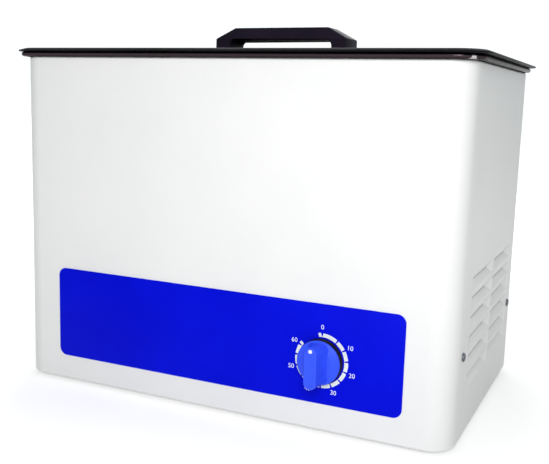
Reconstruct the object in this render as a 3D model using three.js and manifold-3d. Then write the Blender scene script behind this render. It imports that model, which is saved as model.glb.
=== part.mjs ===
// Bench-top ultrasonic cleaner: a folded sheet casing with a drawn tank hung in its top, a
// lift-off lid, a timer dial on a front overlay, two bonded transducers and their generator.
// Millimetres. X runs to the right seen from the front, Y to the back, Z up from the bench.
// Lengths below are laid out from the middle of the casing's front face at bench level, and the
// whole object is then moved so that its origin is under the middle of its box.
import * as THREE from 'three';
import { mergeVertices } from 'three/addons/utils/BufferGeometryUtils.js';
import Module from 'manifold-3d';

// ---- driving dimensions -----------------------------------------------------------------

// Casing
const casingWidth = 352;
const casingDepth = 209.5;
const casingHeight = 254;
const casingCorner = 18.5;       // outside radius of the two front edges
const sheet = 1.2;               // casing, rear panel and base pan sheet
const casingLip = 9;             // inward lips at the casing's top and bottom
const rearLip = 12;              // inward lips down the casing's rear edges
const footShows = 3;             // height of casing's bottom edge above the bench

// Clearances
const seat = 0.1;                // between faces that rest on each other
const fit = 0.3;                 // around pieces that drop into place
const running = 0.15;            // radial, where a shaft turns or a pin passes

// Louvres, pressed inwards in two columns on each side, with hipped ends and a slot in the crease
const louvreHeight = 10.3;
const louvreDepth = 3.2;
const louvreCrease = 4.2;        // from a louvre's bottom edge to the slot's lower edge
const louvreSlot = 1;
const louvreTaper = 8;           // each end slopes in over this length
const louvreStart = 41.6;        // from the front face to the first column
const louvreColumnGap = 4.8;
const louvreRearMargin = 19;     // from the second column to the rear edge
const louvreRowPitch = 14;
const louvreRows = 6;
const louvreLowest = 32.7;       // from the casing's bottom edge to the lowest louvre

// Base pan and feet
const panLip = 14;
const panTab = 13;               // width of the four upright screw tabs
const panTabAbove = 12;          // a tab's top above its screw
const ventSlotLength = 60;
const ventSlotWidth = 4;
const ventSlotPitch = 14;
const ventSlotRows = 2;
const ventSlotStart = 38;        // from the front face to the first row
const ventSlotApart = 6;         // from the casing's middle to each slot
const footRadius = 11;
const footTaper = 1;
const footInset = 30;
const footScrewRadius = 2;
const footScrewHead = 3.5;
const footScrewHeadHeight = 1.6;
const footScrewPoint = 3;        // length that shows inside the pan
const boardPillar = 9;           // pressed pillars that carry the generator board
const pillarFoot = 7;
const pillarHead = 4;
const pillarInset = 8;           // from the board's edges

// Side and rear screws
const sideScrewHeight = 60.8;     // from the casing's bottom edge
const sideScrewInset = 24;       // front screws, from the front face
const sideScrewRear = 12;        // rear screws, from the rear edge
const screwHead = 3;
const screwShank = 1.5;
const screwHeadHeight = 1.6;
const screwReach = 6;            // length under the head
const screwCrown = 2.1;          // radius of the flat on top of the head
const recessReach = 1.8;         // cross recess, from the middle to an arm's end
const recessBlade = 0.42;        // half the width of an arm
const recessDepth = 0.96;

// Tank
const tankEndMargin = 25;        // from the casing's sides to the tank's opening
const tankSideMargin = 25.5;     // from the casing's front and back to the tank's opening
const underTank = 106.6;         // from the casing's bottom edge to the tank's underside
const tankWall = 1;
const tankCorner = 25;
const tankFillet = 12;           // between the walls and the floor
const rimOverhang = 4.5;         // beyond the casing
const rimThick = 3.6;            // rolled edge, top to bottom
const rimCorner = 18;            // at the front
const rimRearCorner = 12;
const gasketInset = 0.5;         // inside the casing's outline
const gasketRearCorner = 7;
const gasketCorner = 6;          // inside corners

// Lid and handle
const lidOverhang = 7;
const lidShift = 2;              // the lid lies this far right of the casing's middle
const lidThick = 2.7;
const lidBevel = 2.4;            // height of the sloping edge
const lidBevelAcross = 4.3;
const lidCorner = 18;
const dishClear = 12;            // from the tank's wall to the lid's dish
const dishDepth = 12;
const dishWall = 2.2;
const dishCorner = 18;
const dishEdge = 3;              // rounding between the dish's walls and floor
const handleLength = 112.5;
const handleWidth = 26;
const handleAboveLid = 22.1;
const handleBar = 9.5;           // thickness of the bar over the finger gap
const handleGap = 90;            // length of the finger gap
const handleChamferLength = 16;
const handleChamferHeight = 8.6;
const handleShift = 3;           // the handle sits this far right of the casing's middle
const handleEdge = 1.5;          // rounding of the side edges, along the faces
const handleEdgeAcross = 2.4;    // and across them
const handleGapRound = 5;
const handleScrewRadius = 2.4;
const handleScrewHead = 4.5;
const handleScrewHeadHeight = 2.2;
const handleScrewLength = 12;
const handleScrewHole = 13;

// Control overlay, knob and timer
const overlayMargin = 34.5;      // from the casing's sides to the overlay's ends, on average
const overlayHeight = 71;
const overlayThick = 0.6;
const overlayCorner = 6.3;
const overlayShift = 1.6;        // right of the casing's middle
const overlayMiddle = 54.9;      // above the casing's bottom edge
const dialInset = 58.1;          // from the overlay's right end to the dial's middle
const dialZ = 50.5;              // above the casing's bottom edge
const knobRadius = 16;
const knobBase = 5;              // thickness of the knob's round base
const knobReach = 22;            // from the casing's face to the grip's front
const knobStandOff = 1.2;        // from the casing's face to the knob's back
const knobEdge = 0.6;
const knobShoulder = 1;          // chamfer between the knob's rim and its cone
const knobCone = 2.2;            // height of the low cone up to the grip
const knobCrown = 11.2;          // radius where the cone ends
const gripWidth = 8.7;
const gripLength = 29;
const gripRound = 4;             // radius at the ends of the grip
const gripFoot = 17;             // width of the grip where it meets the base
const gripLand = 1.5;            // straight part of the grip, next to its front
const gripInset = 1.6;           // the grip's flanks stop this far inside the knob's rim
const pointerRadius = 1.3;
const pointerThick = 0.7;
const pointerOut = 12;           // from the knob's axis
const nutClear = 1.5;            // between the nut and its recess in the knob
const knobBore = 12;             // depth of the shaft's bore
const shaftRadius = 3;
const bushRadius = 4.7;
const nutRadius = 7;
const nutThick = 2.4;
const timerWidth = 46;
const timerDepth = 26;
const timerWall = 1;
const timerCollar = 3;           // the collar stands this much outside the bush
const timerCollarHeight = 0.8;
const bushProud = 0.6;           // the bush's end beyond the nut
const drumRadius = 15;           // spring drum on the shaft
const drumLength = 9;
const drumBack = 14;             // from the drum's front to the timer's back plate
const timerPlate = 1.5;
const timerBoss = 5.5;           // radius of the rear bearing
const timerBossLength = 3.5;
const shaftEnd = 2;              // the shaft stops this far short of the back plate
const terminalOut = 12;          // from the shaft's axis
const terminalLength = 9;
const terminalWide = 6.4;
const terminalThick = 0.8;

// Transducers, bonded under the tank floor
const transducerMargin = 77.5;   // from the tank's end walls to the transducers' axes
const hornTop = 24;              // radius at the bond
const hornBottom = 19;
const hornHeight = 24;
const ceramicRadius = 19;
const ceramicThick = 5;
const electrodeThick = 0.6;
const electrodeTab = 9;
const electrodeTabWidth = 6;
const backMassHeight = 18;
const clampBolt = 4;
const clampHead = 6.5;
const clampHeadHeight = 5;

// Generator board and what stands on it
const boardLength = 150;
const boardWidth = 92;
const boardThick = 1.6;
const boardSideMargin = 24.5;    // from the casing's left side
const boardRearMargin = 37;      // from the casing's back
const sinkInset = 20;            // from the board's rear edge to the sink's front
const sinkLength = 90;
const sinkHeight = 28;
const sinkWeb = 3;
const sinkFins = 5;
const sinkFinThick = 2;
const sinkFinDepth = 12;
const transistorWidth = 16;
const transistorHeight = 20;
const transistorThick = 5;
const transistorUp = 6;          // body above the board
const transistorLegPitch = 5;
const transistorLeg = 1.2;
const coreInset = [40, 30];      // from the board's left and front edges to the core's middle
const coreSize = 34;
const coreHeight = 26;
const coreThick = 14;
const coreYoke = 6;              // thickness of the side legs
const coreBar = 5;               // thickness of the top and bottom bars
const coreLeg = 8;               // thickness of the middle leg
const windingBulge = 4;
const capacitorInset = [75, 14];
const capacitorRadius = 11;
const capacitorHeight = 28;
const capacitorEdge = 1;

// Mains inlet in the rear panel
const inletSideMargin = 59.5;    // from the casing's right side to the inlet's middle
const inletZ = 36;               // above the casing's bottom edge
const inletFlangeWidth = 32;
const inletFlangeHeight = 40;
const inletFlangeThick = 3;
const inletFlangeCorner = 3;
const inletFlangeEdge = 0.8;
const inletBodyWidth = 27;
const inletBodyHeight = 34;
const inletBodyDepth = 24;
const socketWidth = 24.4;
const socketHeight = 16.4;
const socketDepth = 16;
const socketUp = 6.5;            // socket's middle above the inlet's middle
const socketCorner = 1;
const socketKey = 4;             // the socket's two cut corners
const pinWidth = 4;
const pinThick = 2;
const pinSpacing = 7;
const pinDown = 2;               // line and neutral, below the socket's middle
const earthUp = 2.4;             // earth, above it
const pinTail = 8;               // behind the inlet's body
const pinShort = 3;              // from the inlet's face to a pin's end
const drawerWidth = 22;
const drawerHeight = 9;
const drawerDepth = 21;
const drawerDown = 10;           // drawer's middle below the inlet's middle
const drawerProud = 1.5;
const drawerGrip = [10, 2];      // notch for a fingernail, long and deep
const fuseRadius = 2.6;
const fuseLength = 15;
const fuseIn = 7;                // from the drawer's inner end to the fuse's axis
const fuseBay = 8;               // width of the space that the fuse lies in
const leadRadius = 1.6;
const leadLandings = [36, 26];   // where the transducers' leads meet the board, from its front

// ---- heights and places that follow from them -----------------------------------------------

const casingBottom = footShows;
const casingTop = casingBottom + casingHeight;
const halfWidth = casingWidth / 2;
const middleY = casingDepth / 2;
const rimTop = casingTop + rimThick;
const rimUnder = rimTop - tankWall;
const tankFloorUnder = casingBottom + underTank;
const tankLength = casingWidth - 2 * tankEndMargin;
const tankWidth = casingDepth - 2 * tankSideMargin;
const dishLength = tankLength - 2 * dishClear;
const dishWidth = tankWidth - 2 * dishClear;
const overlayWidth = casingWidth - 2 * overlayMargin;
const dialX = overlayShift + overlayWidth / 2 - dialInset;
const inletX = halfWidth - inletSideMargin;
const boardX = boardSideMargin - halfWidth + boardLength / 2;
const boardY = casingDepth - boardRearMargin - boardWidth / 2;
const transducerX = tankLength / 2 - transducerMargin;
const louvreLength = (casingDepth - louvreStart - louvreRearMargin - louvreColumnGap) / 2;
const louvreColumnPitch = louvreLength + louvreColumnGap;
const lidUnder = rimTop + seat;
const lidTop = lidUnder + lidThick;
const dishFloor = lidTop - dishDepth;
const handleTop = lidTop + handleAboveLid;
const gapTop = handleTop - handleBar;
const panFloor = casingBottom + sheet + seat;
const panTop = panFloor + sheet;
const rearPanelY = casingDepth - sheet - seat - sheet;
const dialHeight = casingBottom + dialZ;
const screwHeight = casingBottom + sideScrewHeight;
const inletHeight = casingBottom + inletZ;
const boardBottom = panTop + boardPillar + seat;
const boardTop = boardBottom + boardThick;

// ---- making and joining solids ----------------------------------------------------------------

const wasm = await Module();
wasm.setup();

const cornerSteps = 3;           // a quarter turn is drawn with twice this many facets
const past = 1;                  // a cutting tool passes this far beyond what it cuts

// A closed manifold solid from any closed three.js geometry.
function solidOf(geometry) {
  const bare = geometry.clone();
  bare.deleteAttribute('normal');
  bare.deleteAttribute('uv');
  const merged = mergeVertices(bare, 1e-4);
  const triangles = [];
  const index = merged.index.array;
  for (let i = 0; i < index.length; i += 3) {
    const [a, b, c] = [index[i], index[i + 1], index[i + 2]];
    if (a !== b && b !== c && c !== a) triangles.push(a, b, c);
  }
  return new wasm.Manifold(new wasm.Mesh({
    numProp: 3,
    vertProperties: new Float32Array(merged.attributes.position.array),
    triVerts: new Uint32Array(triangles),
  }));
}

// The three.js geometry of a finished solid.
function geometryOf(solid) {
  const { vertProperties, triVerts } = solid.getMesh();
  const geometry = new THREE.BufferGeometry();
  geometry.setAttribute('position', new THREE.BufferAttribute(vertProperties, 3));
  geometry.setIndex(new THREE.BufferAttribute(triVerts, 1));
  geometry.computeVertexNormals();
  return geometry;
}

const join = (...solids) => solids.reduce((whole, solid) => whole.add(solid));
const cut = (solid, ...tools) => tools.reduce((rest, tool) => rest.subtract(tool), solid);

// A box between two opposite corners.
function box([x0, y0, z0], [x1, y1, z1]) {
  const geometry = new THREE.BoxGeometry(x1 - x0, y1 - y0, z1 - z0);
  geometry.translate((x0 + x1) / 2, (y0 + y1) / 2, (z0 + z1) / 2);
  return solidOf(geometry);
}

// A round rod along 'x', 'y' or 'z', starting at a point.
function rod(axis, radius, length, [x, y, z], steps = 16) {
  const geometry = new THREE.CylinderGeometry(radius, radius, length, steps);
  geometry.translate(0, length / 2, 0);
  if (axis === 'x') geometry.rotateZ(-Math.PI / 2);
  if (axis === 'z') geometry.rotateX(Math.PI / 2);
  geometry.translate(x, y, z);
  return solidOf(geometry);
}

// A turned solid about a vertical axis, from [radius, height] points that start and end on it.
function turned(points, [x, y, z], steps = 20) {
  const profile = points.map(([radius, height]) => new THREE.Vector2(radius, height));
  const geometry = new THREE.LatheGeometry(profile, steps);
  geometry.rotateX(Math.PI / 2);
  geometry.translate(x, y, z);
  return solidOf(geometry);
}

// A rectangle centred on (x, y) with rounded corners; the front pair can differ from the rear.
function outline(width, depth, frontRadius, rearRadius = frontRadius, x = 0, y = 0) {
  const [left, right] = [x - width / 2, x + width / 2];
  const [front, rear] = [y - depth / 2, y + depth / 2];
  const shape = new THREE.Shape();
  const corner = (cx, cy, radius, turn) => {
    if (radius > 0) {
      shape.absarc(cx, cy, radius, turn, turn + Math.PI / 2, false);
    } else {
      shape.lineTo(cx, cy);
    }
  };
  shape.moveTo(left + frontRadius, front);
  corner(right - frontRadius, front + frontRadius, frontRadius, -Math.PI / 2);
  corner(right - rearRadius, rear - rearRadius, rearRadius, 0);
  corner(left + rearRadius, rear - rearRadius, rearRadius, Math.PI / 2);
  corner(left + frontRadius, front + frontRadius, frontRadius, Math.PI);
  shape.closePath();
  return shape;
}

// A flat shape extruded upwards from one height to another.
function slab(shape, bottom, top) {
  const geometry = new THREE.ExtrudeGeometry(shape, {
    depth: top - bottom, bevelEnabled: false, curveSegments: cornerSteps,
  });
  geometry.translate(0, 0, bottom);
  return solidOf(geometry);
}

// The same with its upper and lower edges bevelled or rounded inside the outline.
function softSlab(shape, bottom, top, bevelAcross, bevelUp, steps) {
  const geometry = new THREE.ExtrudeGeometry(shape, {
    depth: top - bottom - 2 * bevelUp, curveSegments: cornerSteps, bevelEnabled: true,
    bevelThickness: bevelUp, bevelSize: bevelAcross, bevelOffset: -bevelAcross,
    bevelSegments: steps,
  });
  geometry.translate(0, 0, bottom + bevelUp);
  return solidOf(geometry);
}

// Turns a solid that was drawn facing up so that it faces the front, then places it.
function facingFront(solid, x, y, z) {
  return solid.rotate([90, 0, 0]).translate([x, y, z]);
}

// The same for a solid that faces the back.
function facingBack(solid, x, y, z) {
  return solid.rotate([-90, 0, 0]).translate([x, y, z]);
}

const wideBox = (bottom, top) => box(
  [-casingWidth, -casingDepth, bottom], [casingWidth, 2 * casingDepth, top]);

// ---- materials -----------------------------------------------------------------------------

const finish = (color, roughness, metalness) => ({ color, roughness, metalness });
const powderCoat = finish(0xe9e9e7, 0.5, 0);
const steel = finish(0xb4b6b8, 0.3, 1);
const zincPlate = finish(0xa8aaa8, 0.45, 1);
const blackPlastic = finish(0x141418, 0.35, 0);
const rubberBlack = finish(0x1a1a1a, 0.85, 0);
const overlayBlue = finish(0x0510d6, 0.45, 0);
const knobBlue = finish(0x5573f2, 0.4, 0);
const whitePaint = finish(0xf4f6f4, 0.6, 0);
const brass = finish(0xb8964a, 0.35, 1);
const aluminium = finish(0xc8cacc, 0.4, 1);
const ceramic = finish(0x6d655a, 0.7, 0);
const boardGreen = finish(0x1d5a34, 0.55, 0);
const copper = finish(0xa8582e, 0.4, 1);
const ferrite = finish(0x303032, 0.6, 0);
const canBlue = finish(0x20305c, 0.4, 0);
const glassClear = finish(0xdfe6e6, 0.1, 0);
const leadGrey = finish(0x3a3a3c, 0.7, 0);

const cleaner = new THREE.Group();
const partsGroup = new THREE.Group();
cleaner.add(partsGroup);

function addPart(name, solid, { color, roughness, metalness }) {
  const material = new THREE.MeshStandardMaterial({ color, roughness, metalness });
  const mesh = new THREE.Mesh(geometryOf(solid), material);
  mesh.name = name;
  partsGroup.add(mesh);
  return mesh;
}

// ---- casing --------------------------------------------------------------------------------

// A tapering block between an upright rectangle in the side wall and a shorter one further in:
// each is { x, from, to, low, high }, with from and to along the casing's depth.
function taperedBlock(outer, inner) {
  const ringOf = ({ x, from, to, low, high }) => [
    [x, from, low], [x, to, low], [x, to, high], [x, from, high]];
  const corners = [...ringOf(outer), ...ringOf(inner)];
  const faces = [0, 1, 2, 0, 2, 3, 4, 6, 5, 4, 7, 6];
  for (let edge = 0; edge < 4; edge += 1) {
    const next = (edge + 1) % 4;
    faces.push(edge, edge + 4, next + 4, edge, next + 4, next);
  }
  const geometry = new THREE.BufferGeometry();
  geometry.setAttribute('position', new THREE.BufferAttribute(new Float32Array(corners.flat()), 3));
  geometry.setIndex(faces);
  return solidOf(geometry);
}

// One louvre of the right side. The pocket is what the press pushes clear: a trough with a
// slope above and below its crease and a slope at each end. The skin is the sheet behind it, and
// the slot lets air through along the crease.
function louvre(startY, bottom) {
  const top = bottom + louvreHeight;
  const endY = startY + louvreLength;
  const crease = bottom + louvreCrease;
  const [creaseStart, creaseEnd] = [startY + louvreTaper, endY - louvreTaper];
  const pocket = taperedBlock(
    { x: halfWidth, from: startY, to: endY, low: bottom, high: top },
    { x: halfWidth - louvreDepth, from: creaseStart, to: creaseEnd,
      low: crease, high: crease + louvreSlot });
  const skin = taperedBlock(
    { x: halfWidth - sheet / 2, from: startY - sheet, to: endY + sheet,
      low: bottom - sheet / 2, high: top + sheet / 2 },
    { x: halfWidth - louvreDepth - sheet, from: creaseStart - sheet, to: creaseEnd + sheet,
      low: crease - sheet / 2, high: crease + louvreSlot + sheet / 2 });
  const slot = box([halfWidth - louvreDepth - 2 * sheet, creaseStart, crease],
    [halfWidth - sheet, creaseEnd, crease + louvreSlot]);
  return { pocket: join(pocket, slot), skin };
}

function louvres() {
  const all = [];
  for (let column = 0; column < 2; column += 1) {
    for (let row = 0; row < louvreRows; row += 1) {
      const startY = louvreStart + column * louvreColumnPitch;
      const bottom = casingBottom + louvreLowest + row * louvreRowPitch;
      all.push(louvre(startY, bottom));
    }
  }
  const bothSides = (solids) => {
    const right = join(...solids);
    return join(right, right.mirror([1, 0, 0]));
  };
  return {
    pockets: bothSides(all.map(({ pocket }) => pocket)),
    skins: bothSides(all.map(({ skin }) => skin)),
  };
}

function makeCasing() {
  const inner = casingWidth - 2 * sheet;
  const innerDepth = casingDepth - 2 * sheet;
  const innerCorner = casingCorner - sheet;
  const shellOutline = outline(casingWidth, casingDepth, casingCorner, 0, 0, middleY);
  const cavityOutline = outline(inner, innerDepth, innerCorner, 0, 0, middleY);
  const mouthRear = casingDepth + sheet;
  const mouthHalf = inner / 2 - casingLip;
  const mouthFront = sheet + casingLip;
  const mouth = outline(2 * mouthHalf, mouthRear - mouthFront, innerCorner / 2, 0,
    0, (mouthFront + mouthRear) / 2);
  const rearGap = inner / 2 - rearLip;
  const solid = cut(
    slab(shellOutline, casingBottom, casingTop),
    slab(cavityOutline, casingBottom + sheet, casingTop - sheet),
    slab(mouth, casingBottom - sheet, casingTop + sheet),
    box([-rearGap, casingDepth - 2 * sheet, casingBottom - sheet],
      [rearGap, casingDepth + sheet, casingTop + sheet]),
  );
  const { pockets, skins } = louvres();
  const bushHole = rod('y', bushRadius + fit, 3 * sheet, [dialX, -sheet, dialHeight]);
  const screwHoles = sideScrewPlaces().map(({ side, y }) => rod('x', screwShank + running,
    4 * sheet, [side * halfWidth - 2 * sheet, y, screwHeight]));
  const rearHoles = rearScrewPlaces().map(({ x, z }) => rod('y', screwShank + running,
    3 * sheet, [x, casingDepth - 2 * sheet, z]));
  return cut(join(solid, skins), pockets, bushHole, ...screwHoles, ...rearHoles);
}

function sideScrewPlaces() {
  return [-1, 1].flatMap((side) => [sideScrewInset, casingDepth - sideScrewRear]
    .map((y) => ({ side, y })));
}

function rearScrewPlaces() {
  const x = halfWidth - sheet - rearLip / 2;
  const z = casingBottom + casingHeight / 2;
  return [-1, 1].map((side) => ({ x: side * x, z }));
}

function makeRearPanel() {
  const half = halfWidth - sheet - fit;
  const bottom = panTop + seat;
  const top = casingTop - sheet - seat;
  const lipHalf = halfWidth - sheet - casingLip - fit;
  const plate = box([-half, rearPanelY, bottom], [half, rearPanelY + sheet, top]);
  const riser = box([-lipHalf, rearPanelY, top - sheet], [lipHalf, rearPanelY + sheet, casingTop]);
  const topLip = box([-lipHalf, rearPanelY - casingLip, casingTop - sheet],
    [lipHalf, rearPanelY + sheet, casingTop]);
  const inletHole = box(
    [inletX - inletBodyWidth / 2 - fit, rearPanelY - sheet,
      inletHeight - inletBodyHeight / 2 - fit],
    [inletX + inletBodyWidth / 2 + fit, rearPanelY + 2 * sheet,
      inletHeight + inletBodyHeight / 2 + fit]);
  const screwHoles = rearScrewPlaces().map(({ x, z }) => rod('y', screwShank + running,
    3 * sheet, [x, rearPanelY - sheet, z]));
  return cut(join(plate, riser, topLip), inletHole, ...screwHoles);
}

// ---- base pan, feet and screws ----------------------------------------------------------------

const panHalf = halfWidth - sheet - seat;
const panFront = sheet + seat;
const panRear = rearPanelY + sheet;
const footPlaces = [-1, 1].flatMap((side) => [footInset, casingDepth - footInset]
  .map((y) => [side * (halfWidth - footInset), y]));

function boardPillarPlaces() {
  return [-1, 1].flatMap((side) => [-1, 1].map((end) => [
    boardX + side * (boardLength / 2 - pillarInset),
    boardY + end * (boardWidth / 2 - pillarInset)]));
}

function makeBasePan() {
  const cornerCut = casingCorner - sheet;
  const pan = outline(2 * panHalf, panRear - panFront, cornerCut, 0, 0, (panFront + panRear) / 2);
  const hollow = outline(2 * (panHalf - sheet), panRear - panFront, cornerCut - sheet, 0,
    0, (panFront + panRear) / 2 + sheet);
  const tray = cut(slab(pan, panFloor, panTop + panLip),
    slab(hollow, panTop, panTop + 2 * panLip),
    box([-panHalf, rearPanelY - fit, panTop], [panHalf, panRear + sheet, panTop + 2 * panLip]));
  const tabTop = screwHeight + panTabAbove;
  const tabs = sideScrewPlaces().map(({ side, y }) => {
    const centre = Math.min(Math.max(y, casingCorner + panTab / 2),
      rearPanelY - fit - panTab / 2);
    const outer = side * panHalf;
    const inner = side * (panHalf - sheet);
    return box([Math.min(outer, inner), centre - panTab / 2, panFloor],
      [Math.max(outer, inner), centre + panTab / 2, tabTop]);
  });
  const pillar = (thinner, low, high, base) => ([x, y]) => turned(
    [[0, 0], [pillarFoot - thinner, 0], [pillarHead - thinner, high], [0, high]],
    [x, y, base + low], 12);
  const pillars = boardPillarPlaces().map(pillar(0, -seat, boardPillar, panTop));
  const pillarHollows = boardPillarPlaces().map(
    pillar(sheet, -seat, boardPillar - sheet, panFloor));
  const slots = [-1, 1].flatMap((side) => Array.from({ length: ventSlotRows }, (_, row) => {
    const x = side * (ventSlotLength / 2 + ventSlotApart);
    const y = ventSlotStart + row * ventSlotPitch;
    return box([x - ventSlotLength / 2, y, panFloor - sheet],
      [x + ventSlotLength / 2, y + ventSlotWidth, panTop + sheet]);
  }));
  const footHoles = footPlaces.map(([x, y]) => rod('z', footScrewRadius + running, 3 * sheet,
    [x, y, panFloor - sheet]));
  const screwHoles = sideScrewPlaces().map(({ side, y }) => rod('x', screwShank + running,
    6 * sheet, [side * panHalf - 3 * sheet, y, screwHeight]));
  return cut(join(tray, ...tabs, ...pillars), ...pillarHollows, ...slots, ...footHoles,
    ...screwHoles);
}

function makeFoot([x, y]) {
  const height = panFloor - seat;
  const narrow = footRadius - footTaper;
  const body = turned([[0, 0], [narrow, 0], [footRadius, footTaper], [narrow, height],
    [0, height]], [x, y, 0]);
  const shankHole = rod('z', footScrewRadius + running, 2 * height, [x, y, -past]);
  const headRecess = rod('z', footScrewHead + fit, height / 2 + past, [x, y, -past]);
  return cut(body, shankHole, headRecess);
}

function makeFootScrew([x, y]) {
  const headBottom = (panFloor - seat) / 2 - seat - footScrewHeadHeight;
  const length = panTop + footScrewPoint - headBottom;
  return turned([[0, 0], [footScrewHead, 0], [footScrewHead, footScrewHeadHeight],
    [footScrewRadius, footScrewHeadHeight], [footScrewRadius, length], [0, length]],
    [x, y, headBottom]);
}

// A pan-head screw drawn standing on its tip, with a cross recess, turned later to its face.
function panHeadScrew() {
  const profile = [[0, -screwReach], [screwShank, -screwReach], [screwShank, 0], [screwHead, 0],
    [screwHead, screwHeadHeight / 2], [screwCrown, screwHeadHeight], [0, screwHeadHeight]];
  const blank = turned(profile, [0, 0, 0], 16);
  const [low, high] = [screwHeadHeight - recessDepth, screwHeadHeight + past];
  return cut(blank,
    box([-recessReach, -recessBlade, low], [recessReach, recessBlade, high]),
    box([-recessBlade, -recessReach, low], [recessBlade, recessReach, high]));
}

// ---- tank, gasket and lid -------------------------------------------------------------------

function tub(extra, top) {
  const shape = outline(tankLength + 2 * extra, tankWidth + 2 * extra, tankCorner + extra,
    tankCorner + extra, 0, middleY);
  const fillet = tankFillet + extra;
  const floor = tankFloorUnder + tankWall - extra;
  const whole = softSlab(shape, floor, top + 2 * fillet, fillet, fillet, 3);
  return whole.intersect(wideBox(floor - past, top));
}

function rimOutline(inset) {
  return outline(casingWidth + 2 * (rimOverhang - inset), casingDepth + 2 * (rimOverhang - inset),
    rimCorner - inset / 2, rimRearCorner - inset / 2, 0, middleY);
}

function makeTank() {
  const rolled = softSlab(rimOutline(0), casingTop, rimTop, rimThick / 2, rimThick / 2, 3);
  const underside = slab(rimOutline(rimThick), casingTop - past, rimUnder);
  const flange = cut(rolled, underside);
  return cut(join(flange, tub(tankWall, rimTop - tankWall / 2)), tub(0, rimTop + past));
}

function makeGasket() {
  const outer = outline(casingWidth - 2 * gasketInset, casingDepth - 2 * gasketInset,
    casingCorner, gasketRearCorner, 0, middleY);
  const inner = outline(casingWidth - 2 * casingLip, casingDepth - 2 * casingLip,
    gasketCorner, gasketCorner, 0, middleY);
  return cut(slab(outer, casingTop + seat, rimUnder - seat),
    slab(inner, casingTop - past, rimTop));
}

function makeLid() {
  const lidOutline = outline(casingWidth + 2 * lidOverhang, casingDepth + 2 * lidOverhang,
    lidCorner, lidCorner, lidShift, middleY);
  const edge = lidThick - lidBevel;
  const bevelled = softSlab(lidOutline, lidUnder - lidBevel, lidTop, lidBevelAcross, lidBevel, 1)
    .intersect(wideBox(lidUnder, lidTop + past));
  const dish = (extra, bottom, top) => softSlab(
    outline(dishLength + 2 * extra, dishWidth + 2 * extra, dishCorner + extra,
      dishCorner + extra, lidShift, middleY), bottom, top, dishEdge + extra, dishEdge + extra, 2);
  const well = dish(dishWall, dishFloor - dishWall, lidTop + dishDepth)
    .intersect(wideBox(dishFloor - dishWall - past, lidTop - edge));
  const hollow = dish(0, dishFloor, lidTop + 2 * dishDepth);
  const holes = handleScrewPlaces().map((x) => rod('z', handleScrewRadius + running,
    4 * dishWall, [x, middleY, dishFloor - 2 * dishWall]));
  return cut(join(bevelled, well), hollow, ...holes);
}

function handleScrewPlaces() {
  const leg = (handleLength - handleGap) / 2;
  return [-1, 1].map((side) => handleShift + side * (handleGap / 2 + leg / 2));
}

// Drawn in the plane of its side view, then stood upright across the lid.
function makeHandle() {
  const foot = dishFloor + seat;
  const height = handleTop - foot;
  const half = handleLength / 2;
  const top = half - handleChamferLength;
  const shoulder = height - handleChamferHeight;
  const shape = new THREE.Shape();
  shape.moveTo(-half, 0);
  shape.lineTo(half, 0);
  shape.lineTo(half, shoulder);
  shape.lineTo(top, height);
  shape.lineTo(-top, height);
  shape.lineTo(-half, shoulder);
  shape.closePath();
  const body = softSlab(shape, -handleWidth / 2, handleWidth / 2, handleEdge, handleEdgeAcross, 2);
  const gapHalf = handleGap / 2;
  const arcX = gapHalf - handleGapRound;
  const arcZ = gapTop - foot - handleGapRound;
  const gap = new THREE.Shape();
  gap.moveTo(-gapHalf, -past);
  gap.lineTo(gapHalf, -past);
  gap.lineTo(gapHalf, arcZ);
  gap.absarc(arcX, arcZ, handleGapRound, 0, Math.PI / 2, false);
  gap.absarc(-arcX, arcZ, handleGapRound, Math.PI / 2, Math.PI, false);
  gap.closePath();
  const opening = slab(gap, -handleWidth, handleWidth);
  const upright = facingFront(cut(body, opening), handleShift, middleY, foot);
  const holes = handleScrewPlaces().map((x) => rod('z', handleScrewRadius + running,
    handleScrewHole + past, [x, middleY, foot - past], 16));
  return cut(upright, ...holes);
}

function makeHandleScrew(x) {
  const head = dishFloor - dishWall - seat;
  const crown = handleScrewHead - handleScrewHeadHeight / 2;
  return turned([[0, -handleScrewHeadHeight], [crown, -handleScrewHeadHeight],
    [handleScrewHead, -handleScrewHeadHeight / 2], [handleScrewHead, 0], [handleScrewRadius, 0],
    [handleScrewRadius, handleScrewLength], [0, handleScrewLength]], [x, middleY, head], 16);
}

// ---- control overlay, knob and timer ------------------------------------------------------------

function makeOverlay() {
  const plate = slab(outline(overlayWidth, overlayHeight, overlayCorner), 0, overlayThick);
  const hole = rod('y', bushRadius + fit, overlayThick + 2 * past,
    [dialX, -seat - overlayThick - past, dialHeight]);
  return cut(facingFront(plate, overlayShift, -seat, casingBottom + overlayMiddle), hole);
}

const knobBack = -knobStandOff;
const nutFront = seat + overlayThick + seat + nutThick;

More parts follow.
